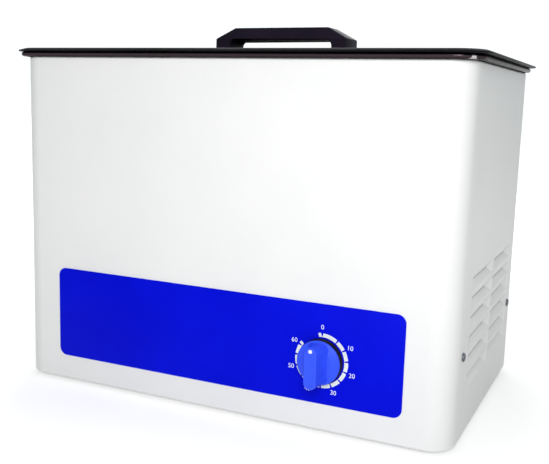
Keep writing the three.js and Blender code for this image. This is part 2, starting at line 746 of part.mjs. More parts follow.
function makeKnob() {
  const front = knobReach - knobStandOff;
  const coneTop = knobBase + knobCone;
  const base = turned([[0, 0], [knobRadius - knobEdge, 0], [knobRadius, knobEdge],
    [knobRadius, knobBase - knobShoulder], [knobRadius - knobShoulder, knobBase],
    [knobCrown, coneTop], [0, coneTop]], [0, 0, 0], 36);
  const sunk = knobBase / 2;
  const grip = softSlab(outline(gripWidth, gripLength, gripRound), sunk, front,
    knobEdge, knobEdge, 2);
  const topHalf = gripWidth / 2 - knobEdge / 2;
  const flank = new THREE.Shape();
  flank.moveTo(-gripFoot / 2, knobBase);
  flank.lineTo(gripFoot / 2, knobBase);
  flank.lineTo(topHalf, front - gripLand);
  flank.lineTo(-topHalf, front - gripLand);
  flank.closePath();
  const wedge = slab(flank, -gripLength / 2, gripLength / 2).rotate([90, 0, 0]);
  const round = rod('z', knobRadius - gripInset, front, [0, 0, sunk], 36);
  const whole = join(base, grip, wedge.intersect(round));
  const nutRecess = rod('z', nutRadius + nutClear, nutFront - knobStandOff + 2 * past,
    [0, 0, -past]);
  const bore = rod('z', shaftRadius + running, knobBore + past, [0, 0, -past]);
  const dotHole = rod('z', pointerRadius + running, 2 * pointerThick,
    [0, pointerOut, front - pointerThick - seat], 20);
  return facingFront(cut(whole, nutRecess, bore, dotHole), dialX, knobBack, dialHeight);
}

function makePointerDot() {
  return rod('y', pointerRadius, pointerThick,
    [dialX, -knobReach, dialHeight + pointerOut], 20);
}

const timerFront = sheet + seat;

function makeTimerCase() {
  const half = timerWidth / 2;
  const clear = half - timerWall;
  const caseFront = timerFront + timerCollarHeight;
  const caseInside = caseFront + timerWall;
  const body = box([dialX - half, caseFront, dialHeight - half],
    [dialX + half, timerFront + timerDepth, dialHeight + half]);
  const hollow = box([dialX - clear, caseInside, dialHeight - clear],
    [dialX + clear, timerFront + timerDepth + past, dialHeight + clear]);
  const collar = rod('y', bushRadius + timerCollar, caseInside - timerFront + past,
    [dialX, timerFront, dialHeight]);
  const bushFront = -nutFront - bushProud;
  const bush = rod('y', bushRadius, caseInside - bushFront, [dialX, bushFront, dialHeight]);
  const bore = rod('y', shaftRadius + running, caseInside - bushFront + 4 * past,
    [dialX, bushFront - past, dialHeight]);
  return cut(join(cut(body, hollow), collar, bush), bore);
}

function makeTimerNut() {
  const nut = rod('y', nutRadius, nutThick, [dialX, -nutFront, dialHeight], 6);
  return cut(nut, rod('y', bushRadius + running, nutThick + 2 * past,
    [dialX, -nutFront - past, dialHeight]));
}

const shaftFront = knobBack - knobBore + past;
const timerRear = timerFront + timerDepth + seat;

function makeTimerShaft() {
  const length = timerRear - shaftEnd - shaftFront;
  const drum = rod('y', drumRadius, drumLength, [dialX, timerRear - drumBack, dialHeight], 32);
  return join(rod('y', shaftRadius, length, [dialX, shaftFront, dialHeight]), drum);
}

function makeTimerBack() {
  const half = timerWidth / 2;
  const plate = box([dialX - half, timerRear, dialHeight - half],
    [dialX + half, timerRear + timerPlate, dialHeight + half]);
  const bearing = rod('y', timerBoss, timerBossLength + timerPlate / 2,
    [dialX, timerRear - timerBossLength, dialHeight]);
  const socket = rod('y', shaftRadius + running, timerBossLength + past,
    [dialX, timerRear - timerBossLength - past, dialHeight]);
  const terminals = [-1, 1].map((side) => box(
    [dialX + side * terminalOut - terminalWide / 2, timerRear + timerPlate / 2,
      dialHeight - terminalThick / 2],
    [dialX + side * terminalOut + terminalWide / 2, timerRear + terminalLength,
      dialHeight + terminalThick / 2]));
  return join(cut(join(plate, bearing), socket), ...terminals);
}

// ---- transducers -----------------------------------------------------------------------------

const ring = (outer, inner, height, at) => cut(rod('z', outer, height, at, 24),
  rod('z', inner, height + 2 * past, [at[0], at[1], at[2] - past], 12));

const ceramicUpperTop = tankFloorUnder - seat - hornHeight - seat;
const electrodeTop = ceramicUpperTop - ceramicThick - seat;
const ceramicLowerTop = electrodeTop - electrodeThick - seat;
const backMassTop = ceramicLowerTop - ceramicThick - seat;
const backMassBottom = backMassTop - backMassHeight;

function addTransducer(number, x) {
  const y = middleY;
  const boltHole = clampBolt + running;
  const hornBase = tankFloorUnder - seat - hornHeight;
  const horn = cut(
    turned([[0, 0], [hornBottom, 0], [hornBottom, hornHeight * 0.35], [hornTop, hornHeight * 0.8],
      [hornTop, hornHeight], [0, hornHeight]], [x, y, hornBase]),
    rod('z', boltHole, hornHeight * 0.6, [x, y, hornBase - past], 12));
  const disc = (top, thick) => ring(ceramicRadius, boltHole, thick, [x, y, top - thick]);
  const tabHalf = electrodeTabWidth / 2;
  const tab = box([x + ceramicRadius - tabHalf, y - tabHalf, electrodeTop - electrodeThick],
    [x + ceramicRadius + electrodeTab, y + tabHalf, electrodeTop]);
  const boltTop = hornBase + hornHeight * 0.5;
  const boltUnder = backMassBottom - seat;
  const bolt = join(
    rod('z', clampBolt, boltTop - boltUnder + past, [x, y, boltUnder - past], 12),
    rod('z', clampHead, clampHeadHeight, [x, y, boltUnder - clampHeadHeight], 6));
  addPart(`transducer_${number}_horn`, horn, aluminium);
  addPart(`transducer_${number}_ceramic_upper`, disc(ceramicUpperTop, ceramicThick), ceramic);
  addPart(`transducer_${number}_electrode`, join(disc(electrodeTop, electrodeThick), tab), brass);
  addPart(`transducer_${number}_ceramic_lower`, disc(ceramicLowerTop, ceramicThick), ceramic);
  addPart(`transducer_${number}_back_mass`, disc(backMassTop, backMassHeight), steel);
  addPart(`transducer_${number}_clamp_bolt`, bolt, zincPlate);
}

// ---- generator board ---------------------------------------------------------------------------

const boardLeft = boardX - boardLength / 2;
const boardFront = boardY - boardWidth / 2;
const sinkY = boardY + boardWidth / 2 - sinkInset;
const coreX = boardLeft + coreInset[0];
const coreY = boardFront + coreInset[1];
const capacitorX = boardLeft + capacitorInset[0];
const capacitorY = boardFront + capacitorInset[1];
const partBottom = boardTop + seat;

function makeBoard() {
  return box([boardLeft, boardFront, boardBottom],
    [boardLeft + boardLength, boardFront + boardWidth, boardTop]);
}

function makeHeatSink() {
  const left = boardX - sinkLength / 2;
  const top = partBottom + sinkHeight;
  const web = box([left, sinkY, partBottom], [left + sinkLength, sinkY + sinkWeb, top]);
  const fins = Array.from({ length: sinkFins }, (_, i) => {
    const x = left + i * (sinkLength - sinkFinThick) / (sinkFins - 1);
    return box([x, sinkY + sinkWeb / 2, partBottom],
      [x + sinkFinThick, sinkY + sinkFinDepth, top]);
  });
  return join(web, ...fins);
}

function makeTransistor(side) {
  const x = boardX + side * sinkLength / 4;
  const half = transistorWidth / 2;
  const low = partBottom + transistorUp;
  const body = box([x - half, sinkY - seat - transistorThick, low],
    [x + half, sinkY - seat, low + transistorHeight]);
  const legY = sinkY - seat - transistorThick / 2;
  const legs = [-1, 0, 1].map((place) => {
    const legX = x + place * transistorLegPitch;
    return box([legX - transistorLeg / 2, legY - transistorLeg / 2, partBottom],
      [legX + transistorLeg / 2, legY + transistorLeg / 2, low + past]);
  });
  return join(body, ...legs);
}

function makeCore() {
  const half = coreSize / 2;
  const outside = half - coreYoke;
  const inside = coreLeg / 2;
  const halfThick = coreThick / 2;
  const [low, high] = [partBottom + coreBar, partBottom + coreHeight - coreBar];
  const whole = box([coreX - half, coreY - halfThick, partBottom],
    [coreX + half, coreY + halfThick, partBottom + coreHeight]);
  return cut(whole,
    box([coreX - outside, coreY - halfThick - past, low],
      [coreX - inside, coreY + halfThick + past, high]),
    box([coreX + inside, coreY - halfThick - past, low],
      [coreX + outside, coreY + halfThick + past, high]));
}

function makeWinding() {
  const outside = coreSize / 2 - coreYoke - fit;
  const inside = coreLeg / 2 + fit;
  const halfThick = coreThick / 2;
  const low = partBottom + coreBar + fit;
  const high = partBottom + coreHeight - coreBar - fit;
  const outer = box([coreX - outside, coreY - halfThick - windingBulge, low],
    [coreX + outside, coreY + halfThick + windingBulge, high]);
  return cut(outer, box([coreX - inside, coreY - halfThick - fit, low - past],
    [coreX + inside, coreY + halfThick + fit, high + past]));
}

function makeCapacitor() {
  return turned([[0, 0], [capacitorRadius, 0], [capacitorRadius, capacitorHeight - capacitorEdge],
    [capacitorRadius - capacitorEdge, capacitorHeight], [0, capacitorHeight]],
    [capacitorX, capacitorY, partBottom], 20);
}

// ---- mains inlet -------------------------------------------------------------------------------

const inletFace = rearPanelY + sheet + seat + inletFlangeThick;
const inletRear = rearPanelY - inletBodyDepth;
const socketMiddle = inletHeight + socketUp;
const drawerMiddle = inletHeight - drawerDown;

function makeInlet() {
  const flangeFront = inletFace - inletFlangeThick;
  const flangeShape = outline(inletFlangeWidth, inletFlangeHeight, inletFlangeCorner);
  const flange = facingBack(
    softSlab(flangeShape, -inletFlangeThick, inletFlangeThick, inletFlangeEdge, inletFlangeEdge, 2),
    inletX, flangeFront, inletHeight)
    .intersect(box([-casingWidth, flangeFront, 0], [casingWidth, 2 * casingDepth, casingTop]));
  const body = box([inletX - inletBodyWidth / 2, inletRear, inletHeight - inletBodyHeight / 2],
    [inletX + inletBodyWidth / 2, inletFace - past, inletHeight + inletBodyHeight / 2]);
  const socketShape = outline(socketWidth, socketHeight, socketCorner, socketKey);
  const socket = facingBack(slab(socketShape, -socketDepth, past), inletX, inletFace, socketMiddle);
  const half = drawerWidth / 2 + fit;
  const halfHeight = drawerHeight / 2 + fit;
  const pocket = box([inletX - half, inletFace - drawerDepth - fit, drawerMiddle - halfHeight],
    [inletX + half, inletFace + past, drawerMiddle + halfHeight]);
  const pinHoles = pinPlaces().map(({ x, z }) => box(
    [x - pinThick / 2 - running, inletRear - past, z - pinWidth / 2 - running],
    [x + pinThick / 2 + running, inletFace - socketDepth + past, z + pinWidth / 2 + running]));
  return cut(join(flange, body), socket, pocket, ...pinHoles);
}

function pinPlaces() {
  return [
    { name: 'line', x: inletX - pinSpacing, z: socketMiddle - pinDown },
    { name: 'neutral', x: inletX + pinSpacing, z: socketMiddle - pinDown },
    { name: 'earth', x: inletX, z: socketMiddle + earthUp },
  ];
}

function makePin({ x, z }) {
  return box([x - pinThick / 2, inletRear - pinTail, z - pinWidth / 2],
    [x + pinThick / 2, inletFace - pinShort, z + pinWidth / 2]);
}

function makeFuseDrawer() {
  const half = drawerWidth / 2;
  const face = inletFace + drawerProud;
  const innerEnd = inletFace - drawerDepth;
  const top = drawerMiddle + drawerHeight / 2;
  const body = box([inletX - half, innerEnd, drawerMiddle - drawerHeight / 2],
    [inletX + half, face, top]);
  const bayHalf = fuseLength / 2 + past;
  const bay = box(
    [inletX - bayHalf, innerEnd + fuseIn - fuseBay / 2, drawerMiddle - fuseRadius - seat],
    [inletX + bayHalf, innerEnd + fuseIn + fuseBay / 2, top + past]);
  const [gripLong, gripDeep] = drawerGrip;
  const grip = box([inletX - gripLong / 2, face - past, top - gripDeep],
    [inletX + gripLong / 2, face + past, top + past]);
  return cut(body, bay, grip);
}

function makeFuse() {
  return rod('x', fuseRadius, fuseLength,
    [inletX - fuseLength / 2, inletFace - drawerDepth + fuseIn, drawerMiddle], 16);
}

// ---- leads -------------------------------------------------------------------------------------

// A round lead through chosen points, held at both ends.
function makeLead(points) {
  const path = new THREE.CatmullRomCurve3(points.map((p) => new THREE.Vector3(...p)), false,
    'catmullrom', 0.4);
  const section = new THREE.Shape();
  section.absarc(0, 0, leadRadius, 0, Math.PI * 2, false);
  const geometry = new THREE.ExtrudeGeometry(section, {
    steps: Math.ceil(path.getLength() / (leadRadius * 6)), extrudePath: path, curveSegments: 4,
  });
  return solidOf(geometry);
}

// From the electrode's tab straight down past the back mass, then across to the board.
function transducerLead(x, landing) {
  const start = [x + ceramicRadius + electrodeTab + leadRadius + fit, middleY,
    electrodeTop - electrodeThick];
  const end = [boardLeft + boardLength - 14, boardFront + landing, boardTop + leadRadius + fit];
  const low = boardTop + 14;
  return [
    start,
    [start[0] + 2, start[1] - 3, (start[2] + low) / 2],
    [start[0], start[1] - 6, low + 4],
    [(start[0] + end[0]) / 2, (start[1] + end[1]) / 2 - 6, low],
    [end[0] + 8, end[1], low - 4],
    end,
  ];
}

function mainsLead() {
  const startPin = pinPlaces()[0];
  return [
    [startPin.x, inletRear - pinTail - leadRadius - fit, startPin.z],
    [startPin.x - 2, inletRear - 24, startPin.z - 10],
    [dialX + 20, middleY, panTop + 8],
    [dialX + 14, timerRear + 34, panTop + 14],
    [dialX + terminalOut, timerRear + terminalLength + leadRadius + fit, dialHeight],
  ];
}

function boardLead() {
  return [
    [dialX - terminalOut, timerRear + terminalLength + leadRadius + fit, dialHeight],
    [dialX - 16, timerRear + 26, dialHeight - 22],
    [boardLeft + boardLength + 24, boardFront - 4, boardTop + 8],
    [boardLeft + boardLength - 12, boardFront + 10, boardTop + leadRadius + fit],
  ];
}

// ---- assembly ----------------------------------------------------------------------------------

addPart('casing_shell', makeCasing(), powderCoat);
addPart('rear_panel', makeRearPanel(), powderCoat);
addPart('base_pan', makeBasePan(), zincPlate);

footPlaces.forEach((place, i) => {
  addPart(`foot_${i + 1}`, makeFoot(place), rubberBlack);
  addPart(`foot_screw_${i + 1}`, makeFootScrew(place), zincPlate);
});

sideScrewPlaces().forEach(({ side, y }, i) => {
  const screw = panHeadScrew().rotate([0, side * 90, 0])
    .translate([side * (halfWidth + seat), y, screwHeight]);
  addPart(`side_screw_${i + 1}`, screw, steel);
});

rearScrewPlaces().forEach(({ x, z }, i) => {
  addPart(`rear_screw_${i + 1}`, facingBack(panHeadScrew(), x, casingDepth + seat, z), steel);
});

addPart('tank', makeTank(), steel);
addPart('rim_gasket', makeGasket(), rubberBlack);
addPart('lid', makeLid(), blackPlastic);
addPart('lid_handle', makeHandle(), blackPlastic);
handleScrewPlaces().forEach((x, i) => {
  addPart(`handle_screw_${i + 1}`, makeHandleScrew(x), steel);
});

addPart('control_overlay', makeOverlay(), overlayBlue);
addPart('timer_knob', makeKnob(), knobBlue);
addPart('pointer_dot', makePointerDot(), whitePaint);
addPart('timer_case', makeTimerCase(), zincPlate);
addPart('timer_nut', makeTimerNut(), brass);
addPart('timer_shaft', makeTimerShaft(), steel);
addPart('timer_back', makeTimerBack(), ferrite);

[-1, 1].forEach((side, i) => addTransducer(i + 1, side * transducerX));

addPart('generator_board', makeBoard(), boardGreen);
addPart('heat_sink', makeHeatSink(), aluminium);
[-1, 1].forEach((side, i) => addPart(`power_transistor_${i + 1}`, makeTransistor(side), ferrite));
addPart('transformer_core', makeCore(), ferrite);
addPart('transformer_winding', makeWinding(), copper);
addPart('filter_capacitor', makeCapacitor(), canBlue);

addPart('mains_inlet', makeInlet(), blackPlastic);
pinPlaces().forEach((place) => addPart(`inlet_pin_${place.name}`, makePin(place), brass));
addPart('fuse_drawer', makeFuseDrawer(), blackPlastic);
addPart('fuse', makeFuse(), glassClear);

addPart('lead_mains', makeLead(mainsLead()), leadGrey);
addPart('lead_board', makeLead(boardLead()), leadGrey);
[-1, 1].forEach((side, i) => {
  const points = transducerLead(side * transducerX, leadLandings[i]);
  addPart(`lead_transducer_${i + 1}`, makeLead(points), leadGrey);
});

// The object's box is as wide as the lid, and runs from the grip of the knob, or the lid if that
// reaches further, to the rear edge of the lid.
const foremost = -Math.max(knobReach, lidOverhang);
const rearmost = casingDepth + lidOverhang;
partsGroup.position.set(-lidShift, -(foremost + rearmost) / 2, 0);

export default cleaner;
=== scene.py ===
# %% [markdown]
# # A bench-top ultrasonic cleaner
# A folded sheet casing carries a drawn steel tank. A black lid with a bridge handle closes it,
# and a clockwork timer sits behind a blue overlay. The measured model is loaded first, and every
# piece made here takes its place and its outer size from the measured boxes.

# %% Load the measured model
import math

import bmesh
import bpy
from mathutils import Matrix, Vector


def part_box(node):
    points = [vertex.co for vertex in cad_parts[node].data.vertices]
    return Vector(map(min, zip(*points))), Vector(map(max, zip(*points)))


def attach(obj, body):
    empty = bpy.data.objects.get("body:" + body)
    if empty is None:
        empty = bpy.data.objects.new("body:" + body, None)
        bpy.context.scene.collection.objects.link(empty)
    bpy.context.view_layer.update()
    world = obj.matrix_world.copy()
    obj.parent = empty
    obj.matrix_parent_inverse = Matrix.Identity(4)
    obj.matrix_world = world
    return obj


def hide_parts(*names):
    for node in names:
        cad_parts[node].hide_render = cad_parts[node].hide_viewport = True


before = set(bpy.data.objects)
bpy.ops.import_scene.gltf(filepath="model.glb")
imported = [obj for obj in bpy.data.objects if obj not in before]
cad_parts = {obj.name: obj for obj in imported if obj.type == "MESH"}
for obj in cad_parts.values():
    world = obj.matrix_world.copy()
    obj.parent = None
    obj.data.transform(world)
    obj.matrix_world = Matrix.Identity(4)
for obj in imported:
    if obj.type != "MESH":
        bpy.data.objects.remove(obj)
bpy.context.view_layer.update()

mm = 0.001
SAME = 0.001 * mm        # points nearer than this are merged
TOUCHING = 0.01 * mm     # places nearer than this count as one place
print("measured nodes:", len(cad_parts))

# %% [markdown]
# ## Helpers for shapes
# Pressed and moulded pieces are stacks of rounded rectangles. One ring of edges is made for each
# level, and neighbouring rings are bridged. It is quicker to change than a boolean, and it gives
# clean strips of quads that shade well. Turned pieces are spun from half a profile instead. Sizes
# go into these helpers in millimetres, and places in metres, as Blender has them.

# %% A rounded ring and a skin of rings
CORNER_STEPS = 10
STEP = 0.03              # between two rings that would lie level, one inside the other


def ring(bm, width, depth, radius, height, centre):
    """The edges of a level rounded rectangle; a pair of radii gives the front and the rear."""
    old = set(bm.edges)
    corners = bmesh.ops.create_grid(bm, x_segments=1, y_segments=1, size=0.5)["verts"]
    bmesh.ops.scale(bm, vec=(width * mm, depth * mm, 1), verts=corners)
    bmesh.ops.translate(bm, vec=(*centre, height * mm), verts=corners)
    front = [v for v in corners if v.co.y < centre[1]]
    rear = [v for v in corners if v.co.y > centre[1]]
    radii = radius if isinstance(radius, tuple) else (radius, radius)
    for two, size in zip((front, rear), radii):
        bmesh.ops.bevel(bm, geom=two, offset=size * mm, affect="VERTICES",
                        segments=CORNER_STEPS, profile=0.5, material=-1)
    edges = [e for e in bm.edges if e not in old]
    faces = list({f for e in edges for f in e.link_faces})
    bmesh.ops.delete(bm, geom=faces, context="FACES_ONLY")
    return edges


def skin(bm, rings):
    """Bridges each ring to the next, and closes both ends.

    A bridge between two level rings may cross over, so such rings are made a STEP apart."""
    for one, other in zip(rings, rings[1:]):
        bmesh.ops.bridge_loops(bm, edges=one + other)
    for end in (rings[0], rings[-1]):
        bmesh.ops.edgeloop_fill(bm, edges=end)
    bmesh.ops.recalc_face_normals(bm, faces=bm.faces)


def stacked(levels, centre=(0.0, 0.0)):
    """A closed body from (width, depth, corner radius, height) levels."""
    bm = bmesh.new()
    skin(bm, [ring(bm, *level, centre) for level in levels])
    return bm


def turned(profile, steps=64):
    """A closed body spun from (radius, height) points.

    They start and end on the axis, or at one point off it, which leaves a hole."""
    bm = bmesh.new()
    points = [bm.verts.new((r * mm, 0, h * mm)) for r, h in profile]
    line = [bm.edges.new(pair) for pair in zip(points, points[1:])]
    bmesh.ops.spin(bm, geom=points + line, axis=(0, 0, 1), cent=(0, 0, 0),
                   angle=2 * math.pi, steps=steps, use_merge=True)
    bmesh.ops.remove_doubles(bm, verts=bm.verts, dist=SAME)
    bmesh.ops.recalc_face_normals(bm, faces=bm.faces)
    return bm


def soften(bm, width, steps, sharper_than):
    """Rounds every edge that is sharper than an angle, in degrees."""
    edges = [e for e in bm.edges
             if e.is_manifold and e.calc_face_angle(0) > math.radians(sharper_than)]
    bmesh.ops.bevel(bm, geom=edges, offset=width * mm, affect="EDGES", segments=steps,
                    profile=0.5, material=-1, clamp_overlap=True)


def points_of(geometry):
    """Only the points of what an operator hands back."""
    return [part for part in geometry if isinstance(part, bmesh.types.BMVert)]


# %% Turning a body to face a side, and handing it over as a finished piece
FACING = {
    "up": Matrix.Identity(4),
    "front": Matrix.Rotation(math.pi / 2, 4, "X"),
    "back": Matrix.Rotation(-math.pi / 2, 4, "X"),
    "right": Matrix.Rotation(math.pi / 2, 4, "Y"),
    "left": Matrix.Rotation(-math.pi / 2, 4, "Y"),
}


def set_down(bm, facing, at):
    """Turns a body that was made facing up, and moves its origin to a point."""
    place = Matrix.Translation(Vector(at)) @ FACING[facing]
    bmesh.ops.transform(bm, matrix=place, verts=bm.verts)


def finished(name, bm, body, material, stands_for=(), sharp=32):
    """Makes the object, gives it its finish, hangs it under its body, and hides the measured nodes
    that it stands for.

    Edges sharper than the angle sharp, in degrees, shade as edges; the others shade smooth."""
    mesh = bpy.data.meshes.new(name)
    bm.to_mesh(mesh)
    volume = bm.calc_volume(signed=True)
    bm.free()
    mesh.materials.append(material)
    mesh.shade_smooth()
    mesh.set_sharp_from_angle(angle=math.radians(sharp))
    piece = bpy.data.objects.new(name, mesh)
    bpy.context.scene.collection.objects.link(piece)
    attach(piece, body)
    if stands_for:
        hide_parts(*stands_for)
    size = " x ".join(f"{side / mm:.1f}" for side in piece.dimensions)
    print(f"{name}: {size} mm, {volume * 1e6:.2f} cm3, {len(mesh.polygons)} faces")
    return piece


def middle(name):
    low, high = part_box(name)
    return (low + high) / 2


# %% [markdown]
# ## Helpers for finishes
# Real finishes vary at two scales: broad patches of slightly different tone, and a fine grain
# that the hand feels. One recipe gives both, with the grain driving roughness and relief. Worn
# edges come from comparing the true surface direction with a softened one: they differ only
# along edges, which is where paint and plastic rub bright.

# %% Node helpers
def from_screen(red, green, blue):
    """A colour as a screen shows it, 0 to 255, turned into the linear colour that nodes use.

    The numbers in linear() are those of the sRGB standard."""
    def linear(v):
        v /= 255
        return v / 12.92 if v <= 0.04045 else ((v + 0.055) / 1.055) ** 2.4
    return (linear(red), linear(green), linear(blue), 1)


def node(tree, kind, **settings):
    """A new shader node, with its sockets or its own settings filled in by name."""
    made = tree.nodes.new("ShaderNode" + kind)
    for key, value in settings.items():
        socket = made.inputs.get(key.replace("_", " "))
        if socket is None:
            setattr(made, key, value)
        else:
            socket.default_value = value
    return made


def spread(tree, source, low, high, to_low, to_high):
    """Stretches one range of a value over another, and stops at its ends."""
    mapped = node(tree, "MapRange", From_Min=low, From_Max=high, To_Min=to_low, To_Max=to_high)
    tree.links.new(source, mapped.inputs["Value"])
    return mapped.outputs["Result"]


def blended(tree, amount, first, second):
    """Mixes two colours; each is a fixed colour or another node's output."""
    mix = node(tree, "MixRGB")
    tree.links.new(amount, mix.inputs["Fac"])
    for socket, colour in ((mix.inputs["Color1"], first), (mix.inputs["Color2"], second)):
        if isinstance(colour, tuple):
            socket.default_value = colour
        else:
            tree.links.new(colour, socket)
    return mix.outputs["Color"]


# %% The shared recipe
PATCH_RANGE = (0.35, 0.65)       # a noise's values lie mostly between these
GRAIN_RANGE = (0.3, 0.7)
WORN_RANGE = (0.4, 0.65)
EDGE_STARTS, EDGE_FULL = 0.99, 0.9   # how alike the true and the softened direction are
EDGE_SAMPLES = 4
COAT_ROUGH = 0.2
RELIEF_STRENGTH = 0.8


def edge_mask(tree, radius, noise):
    """1 along worn edges, 0 elsewhere, broken up by a noise."""
    soft = node(tree, "Bevel", Radius=radius * mm, samples=EDGE_SAMPLES)
    true = node(tree, "NewGeometry")
    same = node(tree, "VectorMath", operation="DOT_PRODUCT")
    tree.links.new(soft.outputs["Normal"], same.inputs[0])
    tree.links.new(true.outputs["Normal"], same.inputs[1])
    edge = spread(tree, same.outputs["Value"], EDGE_STARTS, EDGE_FULL, 0, 1)
    broken = node(tree, "Math", operation="MULTIPLY", use_clamp=True)
    tree.links.new(edge, broken.inputs[0])
    tree.links.new(spread(tree, noise, *WORN_RANGE, 0, 1), broken.inputs[1])
    return broken.outputs["Value"]


def finish(name, colour, shade, rough, patch, grain, relief, swing=0.06, metal=0.0,
           stretch=(1, 1, 1), worn=None, worn_radius=0.5, specular=0.5, coat=0.0,
           glancing=1.0):
    """Patches of two tones, a grain in roughness and relief, and rubbed edges.

    Patch and grain are about how many of them lie in a metre, relief and worn_radius are in
    millimetres, swing is how far the grain moves the roughness, and glancing tints what a metal
    reflects when it is seen almost edge on."""
    material = bpy.data.materials.new(name)
    material.use_nodes = True
    tree = material.node_tree
    shader = tree.nodes["Principled BSDF"]
    shader.inputs["Metallic"].default_value = metal
    shader.inputs["Specular IOR Level"].default_value = specular
    shader.inputs["Specular Tint"].default_value = (glancing, glancing, glancing, 1)
    shader.inputs["Coat Weight"].default_value = coat
    shader.inputs["Coat Roughness"].default_value = COAT_ROUGH
    where = node(tree, "TexCoord")
    laid = node(tree, "Mapping", Scale=stretch)
    tree.links.new(where.outputs["Object"], laid.inputs["Vector"])
    patches = node(tree, "TexNoise", Scale=patch, Detail=4, Roughness=0.6)
    fine = node(tree, "TexNoise", Scale=grain, Detail=3, Roughness=0.55)
    for noise in (patches, fine):
        tree.links.new(laid.outputs["Vector"], noise.inputs["Vector"])
    tone = blended(tree, spread(tree, patches.outputs["Fac"], *PATCH_RANGE, 0, 1),
                   from_screen(*colour), from_screen(*shade))
    roughness = spread(tree, fine.outputs["Fac"], *GRAIN_RANGE, rough - swing, rough + swing)
    if worn:
        mask = edge_mask(tree, worn_radius, patches.outputs["Fac"])
        tone = blended(tree, mask, tone, from_screen(*worn))
    tree.links.new(tone, shader.inputs["Base Color"])
    tree.links.new(roughness, shader.inputs["Roughness"])
    bump = node(tree, "Bump", Distance=relief * mm, Strength=RELIEF_STRENGTH)
    tree.links.new(fine.outputs["Fac"], bump.inputs["Height"])
    tree.links.new(bump.outputs["Normal"], shader.inputs["Normal"])
    print("finish:", name)
    return material


# %% [markdown]
# ## The finishes
# Powder coat is baked plastic, so it has a soft orange-peel skin about two millimetres across.
# Drawn steel keeps long polishing lines, made by squeezing the grain along one axis. The overlay
# is printed film with a velvet face, the lid and handle are grained black mouldings, and the
# knob is a smoother moulding. The inside parts need only their own colour and grain.

# %% Sheet metal and steel
powder_coat = finish("powder_coat", (238, 238, 236), (234, 234, 233), 0.42, patch=9,
                     grain=420, relief=0.012, worn=(225, 225, 222), worn_radius=0.6)
zinc_plate = finish("zinc_plate", (170, 173, 170), (150, 154, 150), 0.42, metal=1, patch=70,
                    grain=1500, relief=0.004)
drawn_steel = finish("drawn_steel", (196, 194, 192), (176, 173, 171), 0.26, metal=1, patch=12,
                     grain=700, relief=0.003, stretch=(0.06, 1, 1), glancing=0.5)
screw_steel = finish("screw_steel", (112, 116, 122), (84, 88, 94), 0.3, metal=1, patch=400,
                     grain=3000, relief=0.006, worn=(230, 230, 232), worn_radius=0.2)
brass = finish("brass", (200, 166, 92), (176, 140, 72), 0.32, metal=1, patch=150, grain=2500,
               relief=0.004, worn=(226, 200, 134), worn_radius=0.2)

# %% Outside the casing, the tank's rolled edge is painted darker than the rest of the steel: painted shade and dark reflection under the lid's overhang
# Painted shade for the rolled edge: the dark under the lid's overhang and the dark reflections in
# its steel
RIM_PAINTED_SHADE = from_screen(54, 45, 49)
RIM_SHADE_FADE = 0.4 * mm


def burnish_outside(material, low, high):
    """Darkens what lies outside a rectangle, seen from above, and fades in over its edge: painted
    shade and dark reflection on the rolled edge.
    """
    tree = material.node_tree
    colour = tree.nodes["Principled BSDF"].inputs["Base Color"]
    bright = colour.links[0].from_socket
    axes = node(tree, "SeparateXYZ")
    tree.links.new(node(tree, "TexCoord").outputs["Object"], axes.inputs["Vector"])
    outside = node(tree, "Math", operation="MAXIMUM")
    for axis, socket, (start, end) in zip("XY", outside.inputs, zip(low, high)):
        centred = node(tree, "Math", operation="SUBTRACT")
        centred.inputs[1].default_value = (start + end) / 2
        size = node(tree, "Math", operation="ABSOLUTE")
        tree.links.new(axes.outputs[axis], centred.inputs[0])
        tree.links.new(centred.outputs["Value"], size.inputs[0])
        edge = (end - start) / 2
        tree.links.new(spread(tree, size.outputs["Value"], edge, edge + RIM_SHADE_FADE, 0, 1),
                       socket)
    dark = blended(tree, outside.outputs["Value"], bright, RIM_PAINTED_SHADE)
    tree.links.new(dark, colour)


shell_low, shell_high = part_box("casing_shell")
# The rolled edge outside the casing's outline gets its painted shade here
burnish_outside(drawn_steel, shell_low[:2], shell_high[:2])
print("painted_rim_shade outside", [round(v / mm, 1) for v in (*shell_low[:2], *shell_high[:2])], "mm")

# %% Mouldings, rubber and film
lid_black = finish("lid_black", (17, 16, 18), (22, 21, 24), 0.42, patch=14, grain=1600,
                   relief=0.012, worn=(46, 44, 48), worn_radius=0.4, specular=0.02)
handle_black = finish("handle_black", (24, 19, 30), (33, 27, 41), 0.46, patch=20, grain=1800,
                      relief=0.02, worn=(46, 41, 52), worn_radius=0.5, specular=0.03)
black_moulding = finish("black_moulding", (16, 16, 18), (22, 22, 24), 0.5, patch=60,
                        grain=2200, relief=0.015, worn=(52, 52, 54), worn_radius=0.3,
                        specular=0.04)
overlay_blue = finish("overlay_blue", (2, 16, 218), (1, 11, 208), 0.5, patch=16, grain=2600,
                      relief=0.006, specular=0.05)
knob_blue = finish("knob_blue", (56, 90, 250), (49, 82, 244), 0.36, patch=60, grain=2400,
                   relief=0.006, worn=(104, 130, 252), worn_radius=0.35, specular=0.18)
print_white = finish("print_white", (240, 244, 243), (230, 236, 236), 0.55, patch=300,
                     grain=4000, relief=0.003, specular=0.3)
dot_white = finish("dot_white", (246, 248, 248), (238, 241, 242), 0.4, patch=400, grain=3000,
                   relief=0.004, specular=0.4)
foot_rubber = finish("foot_rubber", (24, 24, 24), (34, 34, 33), 0.82, patch=90, grain=1700,
                     relief=0.03, specular=0.3)

